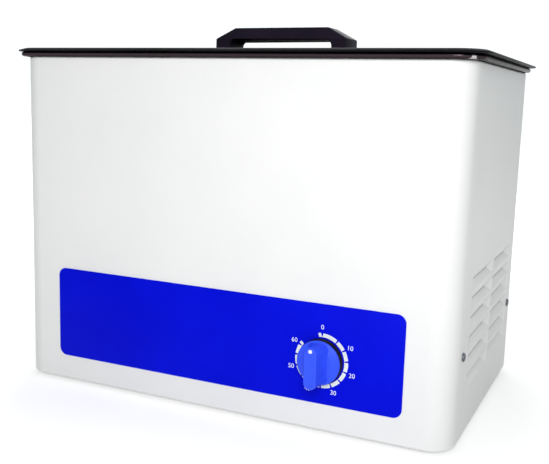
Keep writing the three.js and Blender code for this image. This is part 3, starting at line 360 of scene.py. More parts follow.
# %% Electrical and inside finishes
aluminium = finish("aluminium", (200, 202, 204), (184, 187, 190), 0.36, metal=1, patch=60,
                   grain=1800, relief=0.004, stretch=(1, 1, 0.1))
ceramic = finish("ceramic", (118, 110, 98), (102, 95, 85), 0.7, patch=120, grain=3000,
                 relief=0.01)
board_green = finish("board_green", (28, 92, 52), (20, 76, 42), 0.45, patch=180, grain=1400,
                     relief=0.02, coat=0.4)
ferrite = finish("ferrite", (48, 48, 50), (60, 60, 62), 0.6, patch=140, grain=2600, relief=0.02)
copper_wire = finish("copper_wire", (178, 98, 56), (150, 76, 42), 0.34, metal=1, patch=200,
                     grain=1300, relief=0.06, stretch=(0.1, 0.1, 1), coat=0.6)
can_blue = finish("can_blue", (32, 48, 92), (26, 40, 80), 0.38, patch=150, grain=2600,
                  relief=0.005)
fuse_glass = finish("fuse_glass", (214, 222, 222), (200, 208, 210), 0.12, swing=0.03,
                    patch=200, grain=3000, relief=0.001, coat=1)
lead_grey = finish("lead_grey", (62, 62, 66), (50, 50, 54), 0.62, patch=120, grain=2600,
                   relief=0.01)

# %% [markdown]
# ## Casing
# One sheet is folded round the front and both sides, with lips turned in at the top, the bottom
# and the rear. It could be a solidified box, but the louvres and the bends want their own edges,
# so an open U of edges is bridged level by level, and the louvres are pressed into its sides
# before the sheet gets its thickness.

# %% Casing sizes, from the measured shell
SHEET = 1.2 * mm
LIP = 10.2 * mm
REAR_LIP = 13.2 * mm
BEND = 1.4 * mm
FRONT_CORNER = 18.5 * mm
TIGHTEST_CORNER = 4 * mm
FRONT_CORNER_STEPS = 12
QUARTER_TURN = [math.radians(degrees) for degrees in range(0, 91, 15)]
half_width = (shell_high.x - shell_low.x) / 2
casing_middle = (shell_high.x + shell_low.x) / 2
front_face, rear_edge = shell_low.y, shell_high.y
print(f"half width {half_width / mm:.1f} mm, middle {casing_middle / mm:.1f} mm")


# %% One level of the folded sheet
def at_rear(edge):
    return all(abs(v.co.y - rear_edge) < TOUCHING for v in edge.verts)


def at_side(edge):
    return all(abs(v.co.x) > half_width - TOUCHING for v in edge.verts)


def open_u(bm, inset, height):
    """The front and both sides of a level ring, open at the rear."""
    old = set(bm.edges)
    corners = bmesh.ops.create_grid(bm, x_segments=1, y_segments=1, size=0.5)["verts"]
    depth = rear_edge - front_face - inset
    bmesh.ops.scale(bm, vec=(2 * (half_width - inset), depth, 1), verts=corners)
    bmesh.ops.translate(bm, vec=(0, rear_edge - depth / 2, height), verts=corners)
    front = [v for v in corners if v.co.y < 0]
    bmesh.ops.bevel(bm, geom=front, offset=max(FRONT_CORNER - inset, TIGHTEST_CORNER),
                    segments=FRONT_CORNER_STEPS, affect="VERTICES", profile=0.5, material=-1)
    edges = [e for e in bm.edges if e not in old]
    faces = list({f for e in edges for f in e.link_faces})
    bmesh.ops.delete(bm, geom=faces, context="FACES_ONLY")
    bmesh.ops.delete(bm, geom=[e for e in edges if at_rear(e)], context="EDGES")
    return [e for e in edges if e.is_valid]


# %% Bridge the levels, and turn the rear lips in
bend_steps = [(1 - math.sin(a), 1 - math.cos(a)) for a in QUARTER_TURN]
low_bend = [(BEND * i, shell_low.z + BEND * u) for i, u in bend_steps]
high_bend = [(BEND * i, shell_high.z - BEND * u) for i, u in reversed(bend_steps)]
u_levels = [(LIP, shell_low.z), *low_bend, *high_bend, (LIP, shell_high.z)]

casing = bmesh.new()
chains = [open_u(casing, inset, height) for inset, height in u_levels]
for one, other in zip(chains, chains[1:]):
    bmesh.ops.bridge_loops(casing, edges=one + other)
rear_posts = [e for e in casing.edges if e.is_boundary and at_rear(e) and at_side(e)]
turned_in = bmesh.ops.extrude_edge_only(casing, edges=rear_posts)["geom"]
for v in points_of(turned_in):
    v.co.x -= math.copysign(REAR_LIP, v.co.x)
print("casing levels:", len(u_levels), "rear lip edges:", len(rear_posts))

# %% [markdown]
# ## Louvres
# Each louvre is pushed in as a shallow trough: one slope goes in from its top edge, one from its
# bottom edge, both ends slope back to the wall, and the air slot runs along the crease. The wall
# is first cut along every fold line, each corner is split along its hip so that all slopes stay
# flat, and then only the crease has to be pushed in.

# %% Louvre sizes and places
TALL = 10.3 * mm
PUSH = 3.2 * mm          # how deep the crease lies
CREASE = 4.5 * mm        # height of the crease above the louvre's bottom edge
SLOT = 0.4 * mm
TAPER = 8 * mm           # length of a sloping end
LOUVRE_ROWS = 6
ROW_PITCH = 14 * mm
LOWEST = 32.7 * mm       # from the casing's foot
FIRST = 41.6 * mm        # from the front face
GAP = 4.8 * mm           # between the columns
REAR_MARGIN = 19 * mm
WALL_BAND = 0.1 * mm     # what lies this near the side counts as its wall
NEARLY = 0.99            # what counts as square on, or as all the way in
OUTLINE = -0.001         # a point on a louvre's outline counts as in it
column_length = (rear_edge - front_face - FIRST - GAP - REAR_MARGIN) / 2
columns = [front_face + FIRST, front_face + FIRST + column_length + GAP]
rows = [shell_low.z + LOWEST + i * ROW_PITCH for i in range(LOUVRE_ROWS)]
print(f"a louvre is {column_length / mm:.1f} x {TALL / mm:.1f} mm")


# %% Cut the walls along every fold line
def in_wall(point):
    return abs(point.x) > half_width - WALL_BAND


def wall_faces():
    return [f for f in casing.faces if abs(f.normal.x) > NEARLY
            and in_wall(f.calc_center_median())]


def cut_walls(point, direction):
    faces = wall_faces()
    parts = set(faces) | {e for f in faces for e in f.edges} | {v for f in faces for v in f.verts}
    bmesh.ops.bisect_plane(casing, geom=list(parts), plane_co=point, plane_no=direction,
                           dist=SAME)


casing.normal_update()
for bottom in rows:
    for height in (0, CREASE, CREASE + SLOT, TALL):
        cut_walls((0, 0, bottom + height), (0, 0, 1))
for start in columns:
    for step in (0, TAPER, column_length - TAPER, column_length):
        cut_walls((0, start + step, 0), (0, 1, 0))
print("wall faces after the cuts:", len(wall_faces()))


# %% Open the slots, split the hips, and push the creases in
def fractions(y, z):
    """How far a point of the wall lies towards the crease, along and up its louvre: 0 to 1."""
    for start in columns:
        for bottom in rows:
            along = min(y - start, start + column_length - y) / TAPER
            up = min((z - bottom) / CREASE, (bottom + TALL - z) / (TALL - CREASE - SLOT))
            if min(along, up) > OUTLINE:
                return min(along, 1), min(up, 1)
    return 0, 0


slots, hips = [], []
for face in wall_faces():
    centre = face.calc_center_median()
    along, up = fractions(centre.y, centre.z)
    if along > NEARLY and up > NEARLY:
        slots.append(face)
    elif 1 - NEARLY < min(along, up) and max(along, up) < NEARLY:
        rated = sorted(face.verts, key=lambda v: sum(fractions(v.co.y, v.co.z)))
        hips.append([rated[0], rated[-1]])
for pair in hips:
    bmesh.ops.connect_vert_pair(casing, verts=pair)
bmesh.ops.delete(casing, geom=slots, context="FACES")
for v in casing.verts:
    if in_wall(v.co):
        v.co.x -= math.copysign(PUSH * max(min(fractions(v.co.y, v.co.z)), 0), v.co.x)
bmesh.ops.translate(casing, vec=(casing_middle, 0, 0), verts=casing.verts)
print("louvres a side:", len(columns) * len(rows), "slot faces:", len(slots), "hips:", len(hips))

# %% Give the sheet its thickness and its small edge radius
EDGE_RADIUS = 0.35 * mm
FOLD_ANGLE = 18          # degrees; anything sharper is an edge
bmesh.ops.recalc_face_normals(casing, faces=casing.faces)
front_one = min(casing.faces, key=lambda f: f.calc_center_median().y)
if front_one.normal.y > 0:
    bmesh.ops.reverse_faces(casing, faces=casing.faces)
casing_piece = finished("casing", casing, "housing", powder_coat,
                        ["casing_shell"], sharp=FOLD_ANGLE)
thickness = casing_piece.modifiers.new("sheet", "SOLIDIFY")
thickness.thickness = SHEET
thickness.offset = -1
thickness.use_even_offset = True
edge_round = casing_piece.modifiers.new("edge", "BEVEL")
edge_round.width = EDGE_RADIUS
edge_round.segments = 2
edge_round.limit_method = "ANGLE"
edge_round.angle_limit = math.radians(FOLD_ANGLE)
edge_round.harden_normals = True

# %% [markdown]
# ## Tank
# The tank is drawn from one sheet: a rounded well, a flat flange that rests on the casing, and a
# rolled edge that hides the cut. Its section is the same all round, so it is a stack of rings that
# goes up the outside, over the rolled edge and down the inside.

# %% Tank sizes
tank_low, tank_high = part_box("tank")
tank_centre = ((tank_low.x + tank_high.x) / 2, (tank_low.y + tank_high.y) / 2)
RIM_W = (tank_high.x - tank_low.x) / mm
RIM_D = (tank_high.y - tank_low.y) / mm
TOP = tank_high.z / mm
FLOOR = tank_low.z / mm
WELL_W, WELL_D, WELL_CORNER = 302, 158.5, 25
WALL = 1
FILLET = 12              # between the well's floor and its wall
MOUTH, MOUTH_MIDDLE = 1.5, 0.4   # how far the well's mouth is rounded, and half-way round
BEAD = 3.6               # height of the rolled edge
RIM_CORNERS = (18, 12)   # front and rear
HALF_TURN = [math.radians(degrees) for degrees in range(0, 181, 20)]
print(f"tank rim {RIM_W:.1f} x {RIM_D:.1f} mm, from {FLOOR:.1f} to {TOP:.1f} mm")


# %% Tank levels
def well(out, height):
    """One level of the well, a little outside its inner wall."""
    return (WELL_W + 2 * out, WELL_D + 2 * out, WELL_CORNER + out, height)


def well_foot(out, angle):
    """One level of the well's rounded foot, from the floor to the wall in a quarter turn."""
    fillet = FILLET + out
    inset = fillet * (1 - math.sin(angle))
    return well(out - inset, FLOOR + WALL - out + fillet * (1 - math.cos(angle)))


def rim(inset, height):
    """One level of the flange or its rolled edge, a little inside the measured rim."""
    return (RIM_W - 2 * inset, RIM_D - 2 * inset, tuple(c - inset / 2 for c in RIM_CORNERS),
            height)


roll = [rim(BEAD / 2 * (1 - math.sin(a)), TOP - BEAD / 2 - BEAD / 2 * math.cos(a))
        for a in HALF_TURN]
tank_levels = [
    *[well_foot(WALL, a) for a in QUARTER_TURN], well(WALL, TOP - WALL - STEP),
    rim(BEAD, TOP - WALL), rim(BEAD, TOP - BEAD), *roll,
    well(MOUTH, TOP - STEP), well(MOUTH_MIDDLE, TOP - MOUTH_MIDDLE), well(0, TOP - MOUTH),
    *[well_foot(0, a) for a in reversed(QUARTER_TURN)],
]
finished("drawn_tank", stacked(tank_levels, tank_centre), "housing",
         drawn_steel, ["tank"])

# %% [markdown]
# ## Lid
# A moulded tray: a thin tip that overhangs the tank's rim, a short slope up to a wide flat land,
# and a shallow dish that drops inside the tank, so that the lid cannot slide off. Each level is
# given by how far it lies inside the lid's edge, or outside the dish's inner wall.

# %% Lid sizes
lid_low, lid_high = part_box("lid")
lid_centre = ((lid_low.x + lid_high.x) / 2, (lid_low.y + lid_high.y) / 2)
LID_W, LID_D = (lid_high.x - lid_low.x) / mm, (lid_high.y - lid_low.y) / mm
LID_TOP, LID_FOOT = lid_high.z / mm, lid_low.z / mm
BRIM = 2.7               # from the lid's underside to its top
UNDER = LID_TOP - BRIM
LID_CORNER = 18
DISH_W, DISH_D, DISH_CORNER = 278, 134.5, 18
DISH_WALL = 2.2
DISH_FLOOR = LID_FOOT + DISH_WALL
print(f"lid {LID_W:.1f} x {LID_D:.1f} mm, underside at {UNDER:.1f} mm")


# %% Lid levels
def plan(inset, height):
    return (LID_W - 2 * inset, LID_D - 2 * inset, LID_CORNER - inset / 2, height)


def dish(out, height):
    return (DISH_W + 2 * out, DISH_D + 2 * out, DISH_CORNER + out, height)


dish_outside = [
    dish(-1.5, LID_FOOT), dish(0.2, LID_FOOT + 0.4), dish(1.6, LID_FOOT + 1.7),
    dish(DISH_WALL, LID_FOOT + 3.6), dish(DISH_WALL, UNDER - 0.6), dish(DISH_WALL + 0.6, UNDER),
]
tip = [
    plan(0.6, UNDER + STEP), plan(0.15, UNDER + 0.25), plan(0, UNDER + 0.6),
    plan(0.1, UNDER + 0.95), plan(0.5, UNDER + 1.3),
]
slope_and_land = [
    plan(3.6, LID_TOP - 0.35), plan(4.3, LID_TOP - 0.08), plan(5.2, LID_TOP),
]
dish_inside = [
    dish(1.2, LID_TOP - STEP), dish(0.35, LID_TOP - 0.3), dish(0, LID_TOP - 1.2),
    dish(0, DISH_FLOOR + 3), dish(-0.9, DISH_FLOOR + 0.9), dish(-3, DISH_FLOOR),
]
lid_levels = dish_outside + tip + slope_and_land + dish_inside
finished("moulded_lid", stacked(lid_levels, lid_centre), "lid", lid_black, ["lid"])

# %% [markdown]
# ## Handle
# A bridge with cut-off shoulders. Its side view is one flat face with two rounded gap corners,
# extruded across the lid. The front and back lean in above the finger gap, so the bar catches
# a soft band of light.

# %% Handle
grip_low, grip_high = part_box("lid_handle")
HANDLE_HALF = (grip_high.x - grip_low.x) / 2 / mm
HANDLE_TALL = (grip_high.z - grip_low.z) / mm
HANDLE_DEEP = (grip_high.y - grip_low.y) / mm
BAR = 9.5                # thickness of the bar over the finger gap
GAP_HALF, GAP_TALL, GAP_ROUND = 45, HANDLE_TALL - BAR, 4.5
GAP_DRAFT = 1.2          # each side of the gap leans in by this
LEAN = 3.2               # the front and the back lean in by this
CHAMFER_LONG, CHAMFER_TALL = 16, 8.6
HANDLE_ROUND = 1.1
side_view = [
    (-HANDLE_HALF, 0), (-HANDLE_HALF, HANDLE_TALL - CHAMFER_TALL),
    (-HANDLE_HALF + CHAMFER_LONG, HANDLE_TALL), (HANDLE_HALF - CHAMFER_LONG, HANDLE_TALL),
    (HANDLE_HALF, HANDLE_TALL - CHAMFER_TALL), (HANDLE_HALF, 0), (GAP_HALF, 0),
    (GAP_HALF - GAP_DRAFT, GAP_TALL), (GAP_DRAFT - GAP_HALF, GAP_TALL), (-GAP_HALF, 0),
]
handle = bmesh.new()
outline = [handle.verts.new((x * mm, -HANDLE_DEEP / 2 * mm, z * mm)) for x, z in side_view]
handle.faces.new(outline)
gap_corners = outline[7:9]
bmesh.ops.bevel(handle, geom=gap_corners, offset=GAP_ROUND * mm, segments=6,
                affect="VERTICES", profile=0.5, material=-1)
across = bmesh.ops.extrude_face_region(handle, geom=list(handle.faces))["geom"]
bmesh.ops.translate(handle, vec=(0, HANDLE_DEEP * mm, 0), verts=points_of(across))
bmesh.ops.recalc_face_normals(handle, faces=handle.faces)
bmesh.ops.bisect_plane(handle, geom=handle.verts[:] + handle.edges[:] + handle.faces[:],
                       plane_co=(0, 0, GAP_TALL * mm), plane_no=(0, 0, 1))
for v in handle.verts:
    above = (v.co.z / mm - GAP_TALL) / (HANDLE_TALL - GAP_TALL)
    if above > 0:
        v.co.y -= math.copysign(LEAN * above * mm, v.co.y)
soften(handle, HANDLE_ROUND, steps=3, sharper_than=25)
set_down(handle, "up", ((grip_low.x + grip_high.x) / 2, lid_centre[1], grip_low.z))
finished("bridge_handle", handle, "lid", handle_black, ["lid_handle"], sharp=50)

# %% [markdown]
# ## Front overlay
# A printed polycarbonate film on a thin backing, with a rounded outline. Its cut edge is very
# slightly rounded, and its colour is in the film.

# %% Overlay
film_low, film_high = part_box("control_overlay")
film = middle("control_overlay")
FILM_W, FILM_H = (film_high.x - film_low.x) / mm, (film_high.z - film_low.z) / mm
FILM_T = (film_high.y - film_low.y) / mm
FILM_CORNER = 6.3


def film_level(inset, height):
    return (FILM_W - 2 * inset, FILM_H - 2 * inset, FILM_CORNER - inset, height)


overlay = stacked([
    film_level(0, 0), film_level(0, FILM_T - 0.15), film_level(0.05, FILM_T - 0.04),
    film_level(0.15, FILM_T),
])
set_down(overlay, "front", (film.x, film_high.y, film.z))
finished("overlay_film", overlay, "housing", overlay_blue, ["control_overlay"])

# %% [markdown]
# ## Timer scale
# The scale is screen-printed: a broken white ring, one block for each five minutes, and numbers
# every ten. Each block is a short radial edge spun through its angle, then given the thickness
# of ink. The first interval of a clockwork timer is wider, because its spring winds up there.

# %% Where the marks are printed
dial = middle("timer_knob")
INK = 0.04 * mm          # thickness of the ink
ink_plane = film_low.y - 0.01 * mm
FIRST_FIVE, FIVE = 36, 24        # degrees for the first five minutes, and for each later five


def clock_angle(minutes):
    """Degrees of the knob's turn for a time."""
    return FIRST_FIVE + (minutes - 5) * FIVE // 5 if minutes else 0


def dial_point(radius, clockwise):
    """A point at a radius in millimetres, clockwise from the top as seen from the front."""
    a = math.radians(clockwise)
    return Vector((radius * math.sin(a) * mm, 0, radius * math.cos(a) * mm))


LAST = clock_angle(60)
print("the scale ends at", LAST, "degrees")

# %% The printed ring
RING_IN, RING_OUT = 16.8, 19.5
BLOCK_GAP = 1.2          # degrees at each end of a block
END_GAP = 0.2            # the same, at the first and the last mark
BEYOND = 7.5             # how far the ring runs on past its marks
SLANT, END_SLANT = 1, 2.6
DEGREES_A_STEP = 3


def block(bm, start, end, lean_start, lean_end):
    """A piece of the ring between two angles; a lean slants the outer corner of that end."""
    steps = max(2, round((end - start) / DEGREES_A_STEP))
    line = [bm.verts.new(dial_point(r, start)) for r in (RING_IN, RING_OUT)]
    edge = bm.edges.new(line)
    made = bmesh.ops.spin(bm, geom=line + [edge], axis=(0, 1, 0), cent=(0, 0, 0),
                          angle=math.radians(end - start), steps=steps)
    for verts, lean in ((line, lean_start), (points_of(made["geom_last"]), lean_end)):
        outer = max(verts, key=lambda v: v.co.length)
        turn = Matrix.Rotation(math.radians(lean), 4, "Y")
        bmesh.ops.transform(bm, matrix=turn, verts=[outer])


scale = bmesh.new()
block(scale, -BEYOND, -END_GAP, -SLANT, -END_SLANT)
block(scale, END_GAP, FIRST_FIVE - 1, END_SLANT, -SLANT)
for tick in range(FIRST_FIVE, LAST - FIVE, FIVE):
    block(scale, tick + BLOCK_GAP, tick + FIVE - BLOCK_GAP, SLANT, -SLANT)
block(scale, LAST - FIVE + BLOCK_GAP, LAST - END_GAP, SLANT, -END_SLANT)
block(scale, LAST + END_GAP, LAST + BEYOND, END_SLANT, SLANT)
bmesh.ops.recalc_face_normals(scale, faces=scale.faces)
inked = bmesh.ops.extrude_face_region(scale, geom=scale.faces[:])["geom"]
bmesh.ops.translate(scale, vec=(0, -INK, 0), verts=points_of(inked))
bmesh.ops.recalc_face_normals(scale, faces=scale.faces)
bmesh.ops.translate(scale, vec=(dial.x, ink_plane, dial.z), verts=scale.verts)
finished("dial_scale", scale, "housing", print_white, sharp=60)

# %% The printed numbers
NUMBER_HEIGHT, NUMBER_RADIUS = 4.6, 23.6
numbers = bmesh.new()
for minutes in range(0, 61, 10):
    curve = bpy.data.curves.new(f"number_{minutes}", "FONT")
    curve.body = str(minutes)
    curve.size = NUMBER_HEIGHT * mm
    curve.align_x, curve.align_y = "CENTER", "CENTER"
    curve.extrude = INK / 2
    curve.resolution_u = 5
    lettering = bpy.data.objects.new(f"number_{minutes}", curve)
    mesh = bpy.data.meshes.new_from_object(lettering)
    at = Vector((dial.x, ink_plane - INK / 2, dial.z))
    at += dial_point(NUMBER_RADIUS, clock_angle(minutes))
    mesh.transform(Matrix.Translation(at) @ FACING["front"])
    numbers.from_mesh(mesh)
    bpy.data.objects.remove(lettering)
bmesh.ops.remove_doubles(numbers, verts=numbers.verts, dist=SAME)
finished("dial_numbers", numbers, "housing", print_white, sharp=60)

# %% [markdown]
# ## Knob
# A round base with a dark skirt, a low cone, and a tall pointer grip across it whose flanks flare
# down to the cone. The base is spun and the grip is a stack of rings, so both stay easy to change.

# %% Knob base
knob_low, knob_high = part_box("timer_knob")
knob_back = (dial.x, knob_high.y, dial.z)
KNOB_TALL = (knob_high.y - knob_low.y) / mm
HOLLOW_RADIUS, HOLLOW = 9, 1.2   # under the knob, round the nut
SKIRT_RADIUS, SKIRT = 15.9, 4.6
CROWN_RADIUS, CONE_TOP = 15.6, 8.15
skirt = turned([(0, HOLLOW), (HOLLOW_RADIUS, HOLLOW), (HOLLOW_RADIUS, 0),
                (SKIRT_RADIUS - 0.4, 0), (SKIRT_RADIUS, 0.4), (SKIRT_RADIUS, SKIRT), (0, SKIRT)])
set_down(skirt, "front", knob_back)
finished("knob_skirt", skirt, "timer_dial", black_moulding, ["timer_knob"])

crown = turned([(0, SKIRT), (CROWN_RADIUS - 0.3, SKIRT), (CROWN_RADIUS, SKIRT + 0.3),
                (CROWN_RADIUS, 5.9), (CROWN_RADIUS - 0.3, 6.3), (14.8, 6.55), (14.1, 6.75),
                (11.6, 7.7), (10.6, 8.05), (9.6, CONE_TOP), (0, CONE_TOP)])
set_down(crown, "front", knob_back)
finished("knob_crown", crown, "timer_dial", knob_blue, ["timer_knob"])

# %% Knob grip
FACE = KNOB_TALL - 0.25  # a little under the measured front
grip = stacked([
    (16.6, 28.2, 5.5, 5.0), (16.2, 28.3, 5.2, 6.2), (12.4, 28.6, 4.6, 12), (9.5, 29, 4.4, 18.6),
    (9.2, 29, 4.3, 19.4), (8.9, 28.8, 4.2, 20.0), (8.3, 28.2, 3.9, 20.5),
    (7.4, 27.3, 3.5, FACE),
])
set_down(grip, "front", knob_back)
finished("knob_grip", grip, "timer_dial", knob_blue, ["timer_knob"], sharp=50)

# %% Pointer dot, a drop of paint in the grip
dot_low, dot_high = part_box("pointer_dot")
dot_at = middle("pointer_dot")
DOT = (dot_high.x - dot_low.x) / 2 / mm
dot = turned([(0, 0), (DOT, 0), (DOT, 0.55), (DOT * 0.85, 0.66), (0, 0.7)], steps=40)
set_down(dot, "front", (dot_at.x, dot_high.y, dot_at.z))
finished("painted_dot", dot, "timer_dial", dot_white, ["pointer_dot"])

# %% [markdown]
# ## Screws and feet
# Pan-head screws hold the base pan at the sides and the panel at the rear. Their cross recess is
# bitten out of the head: four quarters of a spun head would not join cleanly, so a small cross of
# boxes is taken away by a boolean, which is applied at once.

# %% The cross that is bitten out of a head
HEAD, CROWN, HEAD_TALL = 3.0, 2.2, 1.6     # radius, radius of the top, height
CROSS_LONG, CROSS_WIDE, CROSS_TALL = 3.6, 0.8, 2
CROSS_LIFT = 0.1         # its middle lies this far above the head, so it cuts 0.9 mm deep


def cross_cutter():
    bm = bmesh.new()
    for width, depth in ((CROSS_LONG, CROSS_WIDE), (CROSS_WIDE, CROSS_LONG)):
        arm = bmesh.ops.create_cube(bm, size=1)["verts"]
        bmesh.ops.scale(bm, vec=(width * mm, depth * mm, CROSS_TALL * mm), verts=arm)
        bmesh.ops.translate(bm, vec=(0, 0, (HEAD_TALL + CROSS_LIFT) * mm), verts=arm)
    return bm


# %% A pan-head screw
SHANK, SHANK_LONG = 1.5, 6


def screw_body():
    return turned([(0, -SHANK_LONG), (SHANK - 0.3, -SHANK_LONG), (SHANK, 0.4 - SHANK_LONG),
                   (SHANK, 0), (HEAD - 0.1, 0), (HEAD, 0.12), (HEAD, 0.55), (HEAD - 0.15, 0.95),
                   (HEAD - 0.5, 1.32), (CROWN, 1.52), (1.2, HEAD_TALL), (0, HEAD_TALL)],
                  steps=40)


def screw(name, cad_node, facing, head_back):
    """One screw with its head's back at a point, standing for a measured one."""
    bm = screw_body()
    set_down(bm, facing, head_back)
    cutter = cross_cutter()
    set_down(cutter, facing, head_back)
    tool_mesh = bpy.data.meshes.new("cross")
    cutter.to_mesh(tool_mesh)
    cutter.free()
    tool = bpy.data.objects.new("cross", tool_mesh)
    bpy.context.scene.collection.objects.link(tool)
    piece = finished(name, bm, "housing", screw_steel, [cad_node], sharp=40)
    bite = piece.modifiers.new("recess", "BOOLEAN")
    bite.operation = "DIFFERENCE"
    bite.solver = "EXACT"
    bite.use_self = True
    bite.object = tool
    bpy.context.view_layer.update()
    shaped = bpy.data.meshes.new_from_object(piece.evaluated_get(
        bpy.context.evaluated_depsgraph_get()))
    piece.modifiers.clear()
    piece.data = shaped
    bpy.data.objects.remove(tool)
    print(name, "with its cross:", len(shaped.polygons), "faces")


# %% Drive the screws
for i in range(1, 5):
    low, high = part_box(f"side_screw_{i}")
    at = (low + high) / 2
    left = at.x < casing_middle
    at.x = low.x + HEAD_TALL * mm if left else high.x - HEAD_TALL * mm
    screw(f"case_screw_{i}", f"side_screw_{i}", "left" if left else "right", at)
for i in (1, 2):
    low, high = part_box(f"rear_screw_{i}")
    at = (low + high) / 2
    at.y = high.y - HEAD_TALL * mm
    screw(f"back_screw_{i}", f"rear_screw_{i}", "back", at)

# %% Rubber feet, with a recess for the screw and a soft edge
SCREW_HOLE, RECESS = 2.2, 3.8
for i in range(1, 5):
    low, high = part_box(f"foot_{i}")
    at = (low + high) / 2
    tall = (high.z - low.z) / mm
    radius = (high.x - low.x) / 2 / mm
    foot = turned([(SCREW_HOLE, tall), (SCREW_HOLE, tall / 2), (RECESS, tall / 2),
                   (RECESS, 0.3), (RECESS + 0.4, 0), (radius - 1.6, 0), (radius - 0.9, 0.25),
                   (radius - 0.25, 1), (radius, 1.7), (radius - 0.3, tall - 0.4),
                   (radius - 0.8, tall), (SCREW_HOLE, tall)])
    set_down(foot, "up", (at.x, at.y, low.z))
    finished(f"rubber_foot_{i}", foot, "housing", foot_rubber, [f"foot_{i}"])

# %% [markdown]
# ## The other measured nodes
# The rear panel, base pan, inlet, timer and everything inside already have the right shape, so
# they stay as they are and only get their finishes.

# %% Finishes for the measured nodes
def numbered(name, count=2):
    """The names of a repeated node; its number goes where the braces are."""
    return [name.format(i) for i in range(1, count + 1)]


plain = {
    powder_coat: ["rear_panel"],
    zinc_plate: ["base_pan", "timer_case", *numbered("foot_screw_{}", 4),
                 *numbered("transducer_{}_clamp_bolt")],
    screw_steel: ["timer_shaft", *numbered("handle_screw_{}"),
                  *numbered("transducer_{}_back_mass")],
    brass: ["timer_nut", *numbered("transducer_{}_electrode"), "inlet_pin_line",
            "inlet_pin_neutral", "inlet_pin_earth"],
    foot_rubber: ["rim_gasket"],
    black_moulding: ["mains_inlet", "fuse_drawer", "timer_back"],
    aluminium: ["heat_sink", *numbered("transducer_{}_horn")],
    ceramic: [*numbered("transducer_{}_ceramic_upper"), *numbered("transducer_{}_ceramic_lower")],
    board_green: ["generator_board"],
    ferrite: ["transformer_core", *numbered("power_transistor_{}")],
    copper_wire: ["transformer_winding"],
    can_blue: ["filter_capacitor"],
    fuse_glass: ["fuse"],
    lead_grey: ["lead_mains", "lead_board", *numbered("lead_transducer_{}")],
}
for material, names in plain.items():
    for name in names:
        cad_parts[name].material_slots[0].material = material
print("measured nodes finished:", sum(len(names) for names in plain.values()))

# %% [markdown]
# ## Floor, light and camera
# A wide white sheet stands for the table. It reflects light like white card, and the camera,
# mirrors and glass see a glow on it besides, which grows with the distance from the object, so it
# runs out into white while the shadow round the casing stays. A soft lamp in front and to the
# right lights the front, a wide one above evens it out, and one behind lifts the rear.

# %% The floor's sheet
FLOOR_HALF = 6.0
floor_shape = bmesh.new()
bmesh.ops.create_grid(floor_shape, x_segments=1, y_segments=1, size=FLOOR_HALF)
floor_mesh = bpy.data.meshes.new("floor")
floor_shape.to_mesh(floor_mesh)
floor_shape.free()
floor = bpy.data.objects.new("floor", floor_mesh)
bpy.context.scene.collection.objects.link(floor)
print("floor:", 2 * FLOOR_HALF, "m square")

# %% White card, and the world
CARD_WHITE = 0.8
GLOW_FROM, GLOW_TO = 0.2, 0.7        # metres from the object's middle
NEAR_GLOW, FAR_GLOW = 0.42, 1.0
WORLD_TINT = (0.94, 0.985, 1, 1)
AMBIENT, WORLD_SEEN = 0.27, 1.1


def seen_as(tree, lit, seen):
    """One strength for lighting things, and another for the camera, mirrors and glass."""
    path = node(tree, "LightPath")
    ray = path.outputs["Is Camera Ray"]
    for kind in ("Is Glossy Ray", "Is Transmission Ray"):
        either = node(tree, "Math", operation="MAXIMUM")
        tree.links.new(ray, either.inputs[0])
        tree.links.new(path.outputs[kind], either.inputs[1])
        ray = either.outputs["Value"]
    return spread(tree, ray, 0, 1, lit, seen)


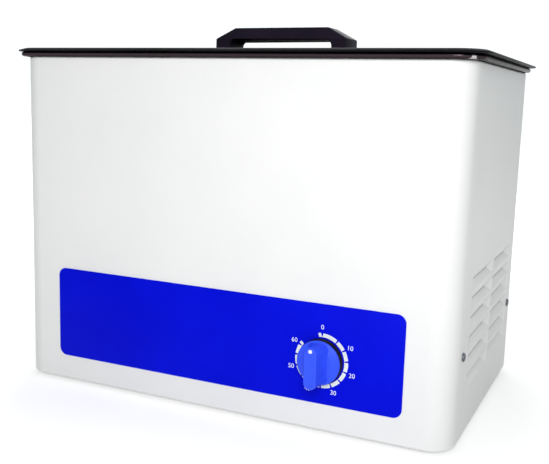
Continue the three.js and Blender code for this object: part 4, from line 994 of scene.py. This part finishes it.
card = bpy.data.materials.new("white_card")
card.use_nodes = True
tree = card.node_tree
card_shader = tree.nodes["Principled BSDF"]
card_shader.inputs["Base Color"].default_value = (CARD_WHITE, CARD_WHITE, CARD_WHITE, 1)
card_shader.inputs["Roughness"].default_value = 0.9
card_shader.inputs["Specular IOR Level"].default_value = 0.1
card_shader.inputs["Emission Color"].default_value = (1, 1, 1, 1)
distance = node(tree, "VectorMath", operation="LENGTH")
tree.links.new(node(tree, "TexCoord").outputs["Object"], distance.inputs[0])
growing = spread(tree, distance.outputs["Value"], GLOW_FROM, GLOW_TO, NEAR_GLOW, FAR_GLOW)
glow = node(tree, "Math", operation="MULTIPLY")
tree.links.new(seen_as(tree, 0, 1), glow.inputs[0])
tree.links.new(growing, glow.inputs[1])
tree.links.new(glow.outputs["Value"], card_shader.inputs["Emission Strength"])
floor_mesh.materials.append(card)

world = bpy.data.worlds.new("studio")
bpy.context.scene.world = world
world.use_nodes = True
background = world.node_tree.nodes["Background"]
background.inputs["Color"].default_value = WORLD_TINT
world.node_tree.links.new(seen_as(world.node_tree, AMBIENT, WORLD_SEEN),
                          background.inputs["Strength"])
print("world lights at", AMBIENT, "and is seen at", WORLD_SEEN)

# %% Lamps
def soft_lamp(name, at, aim, side, watts):
    """A square lamp at a point, turned towards another, both in metres."""
    lamp = bpy.data.lights.new(name, "AREA")
    lamp.shape = "SQUARE"
    lamp.size = side
    lamp.energy = watts
    holder = bpy.data.objects.new(name, lamp)
    bpy.context.scene.collection.objects.link(holder)
    holder.location = at
    direction = Vector(aim) - Vector(at)
    holder.rotation_euler = direction.to_track_quat("-Z", "Y").to_euler()
    print(name, watts, "W")


soft_lamp("front_lamp", at=(0.36, -0.82, 0.45), aim=(0.05, -0.1, 0.14), side=0.35, watts=5.6)
soft_lamp("top_lamp", at=(-0.2, 0.1, 1.5), aim=(0, 0, 0.1), side=1.2, watts=3.5)
soft_lamp("back_lamp", at=(-0.45, 1.3, 0.7), aim=(0, 0.1, 0.14), side=0.9, watts=6)

# %% Camera
CAMERA_AT = Vector((276.6, -602.0, 229.6)) * mm
TURN, TILT, ROLL = (math.radians(a) for a in (24.695, -9.236, 1.673))
LENS, SENSOR = 53.51, 36         # millimetres
NEAREST = 0.01                   # metres
camera_data = bpy.data.cameras.new("camera")
camera_data.sensor_width = SENSOR
camera_data.lens = LENS
camera_data.clip_start = NEAREST
camera = bpy.data.objects.new("camera", camera_data)
bpy.context.scene.collection.objects.link(camera)
camera.matrix_world = (Matrix.Translation(CAMERA_AT) @ Matrix.Rotation(TURN, 4, "Z")
                       @ Matrix.Rotation(math.pi / 2 + TILT, 4, "X")
                       @ Matrix.Rotation(ROLL, 4, "Z"))
bpy.context.scene.camera = camera
bpy.context.scene.view_settings.view_transform = "Standard"
print("camera at", CAMERA_AT, "lens", LENS, "mm")
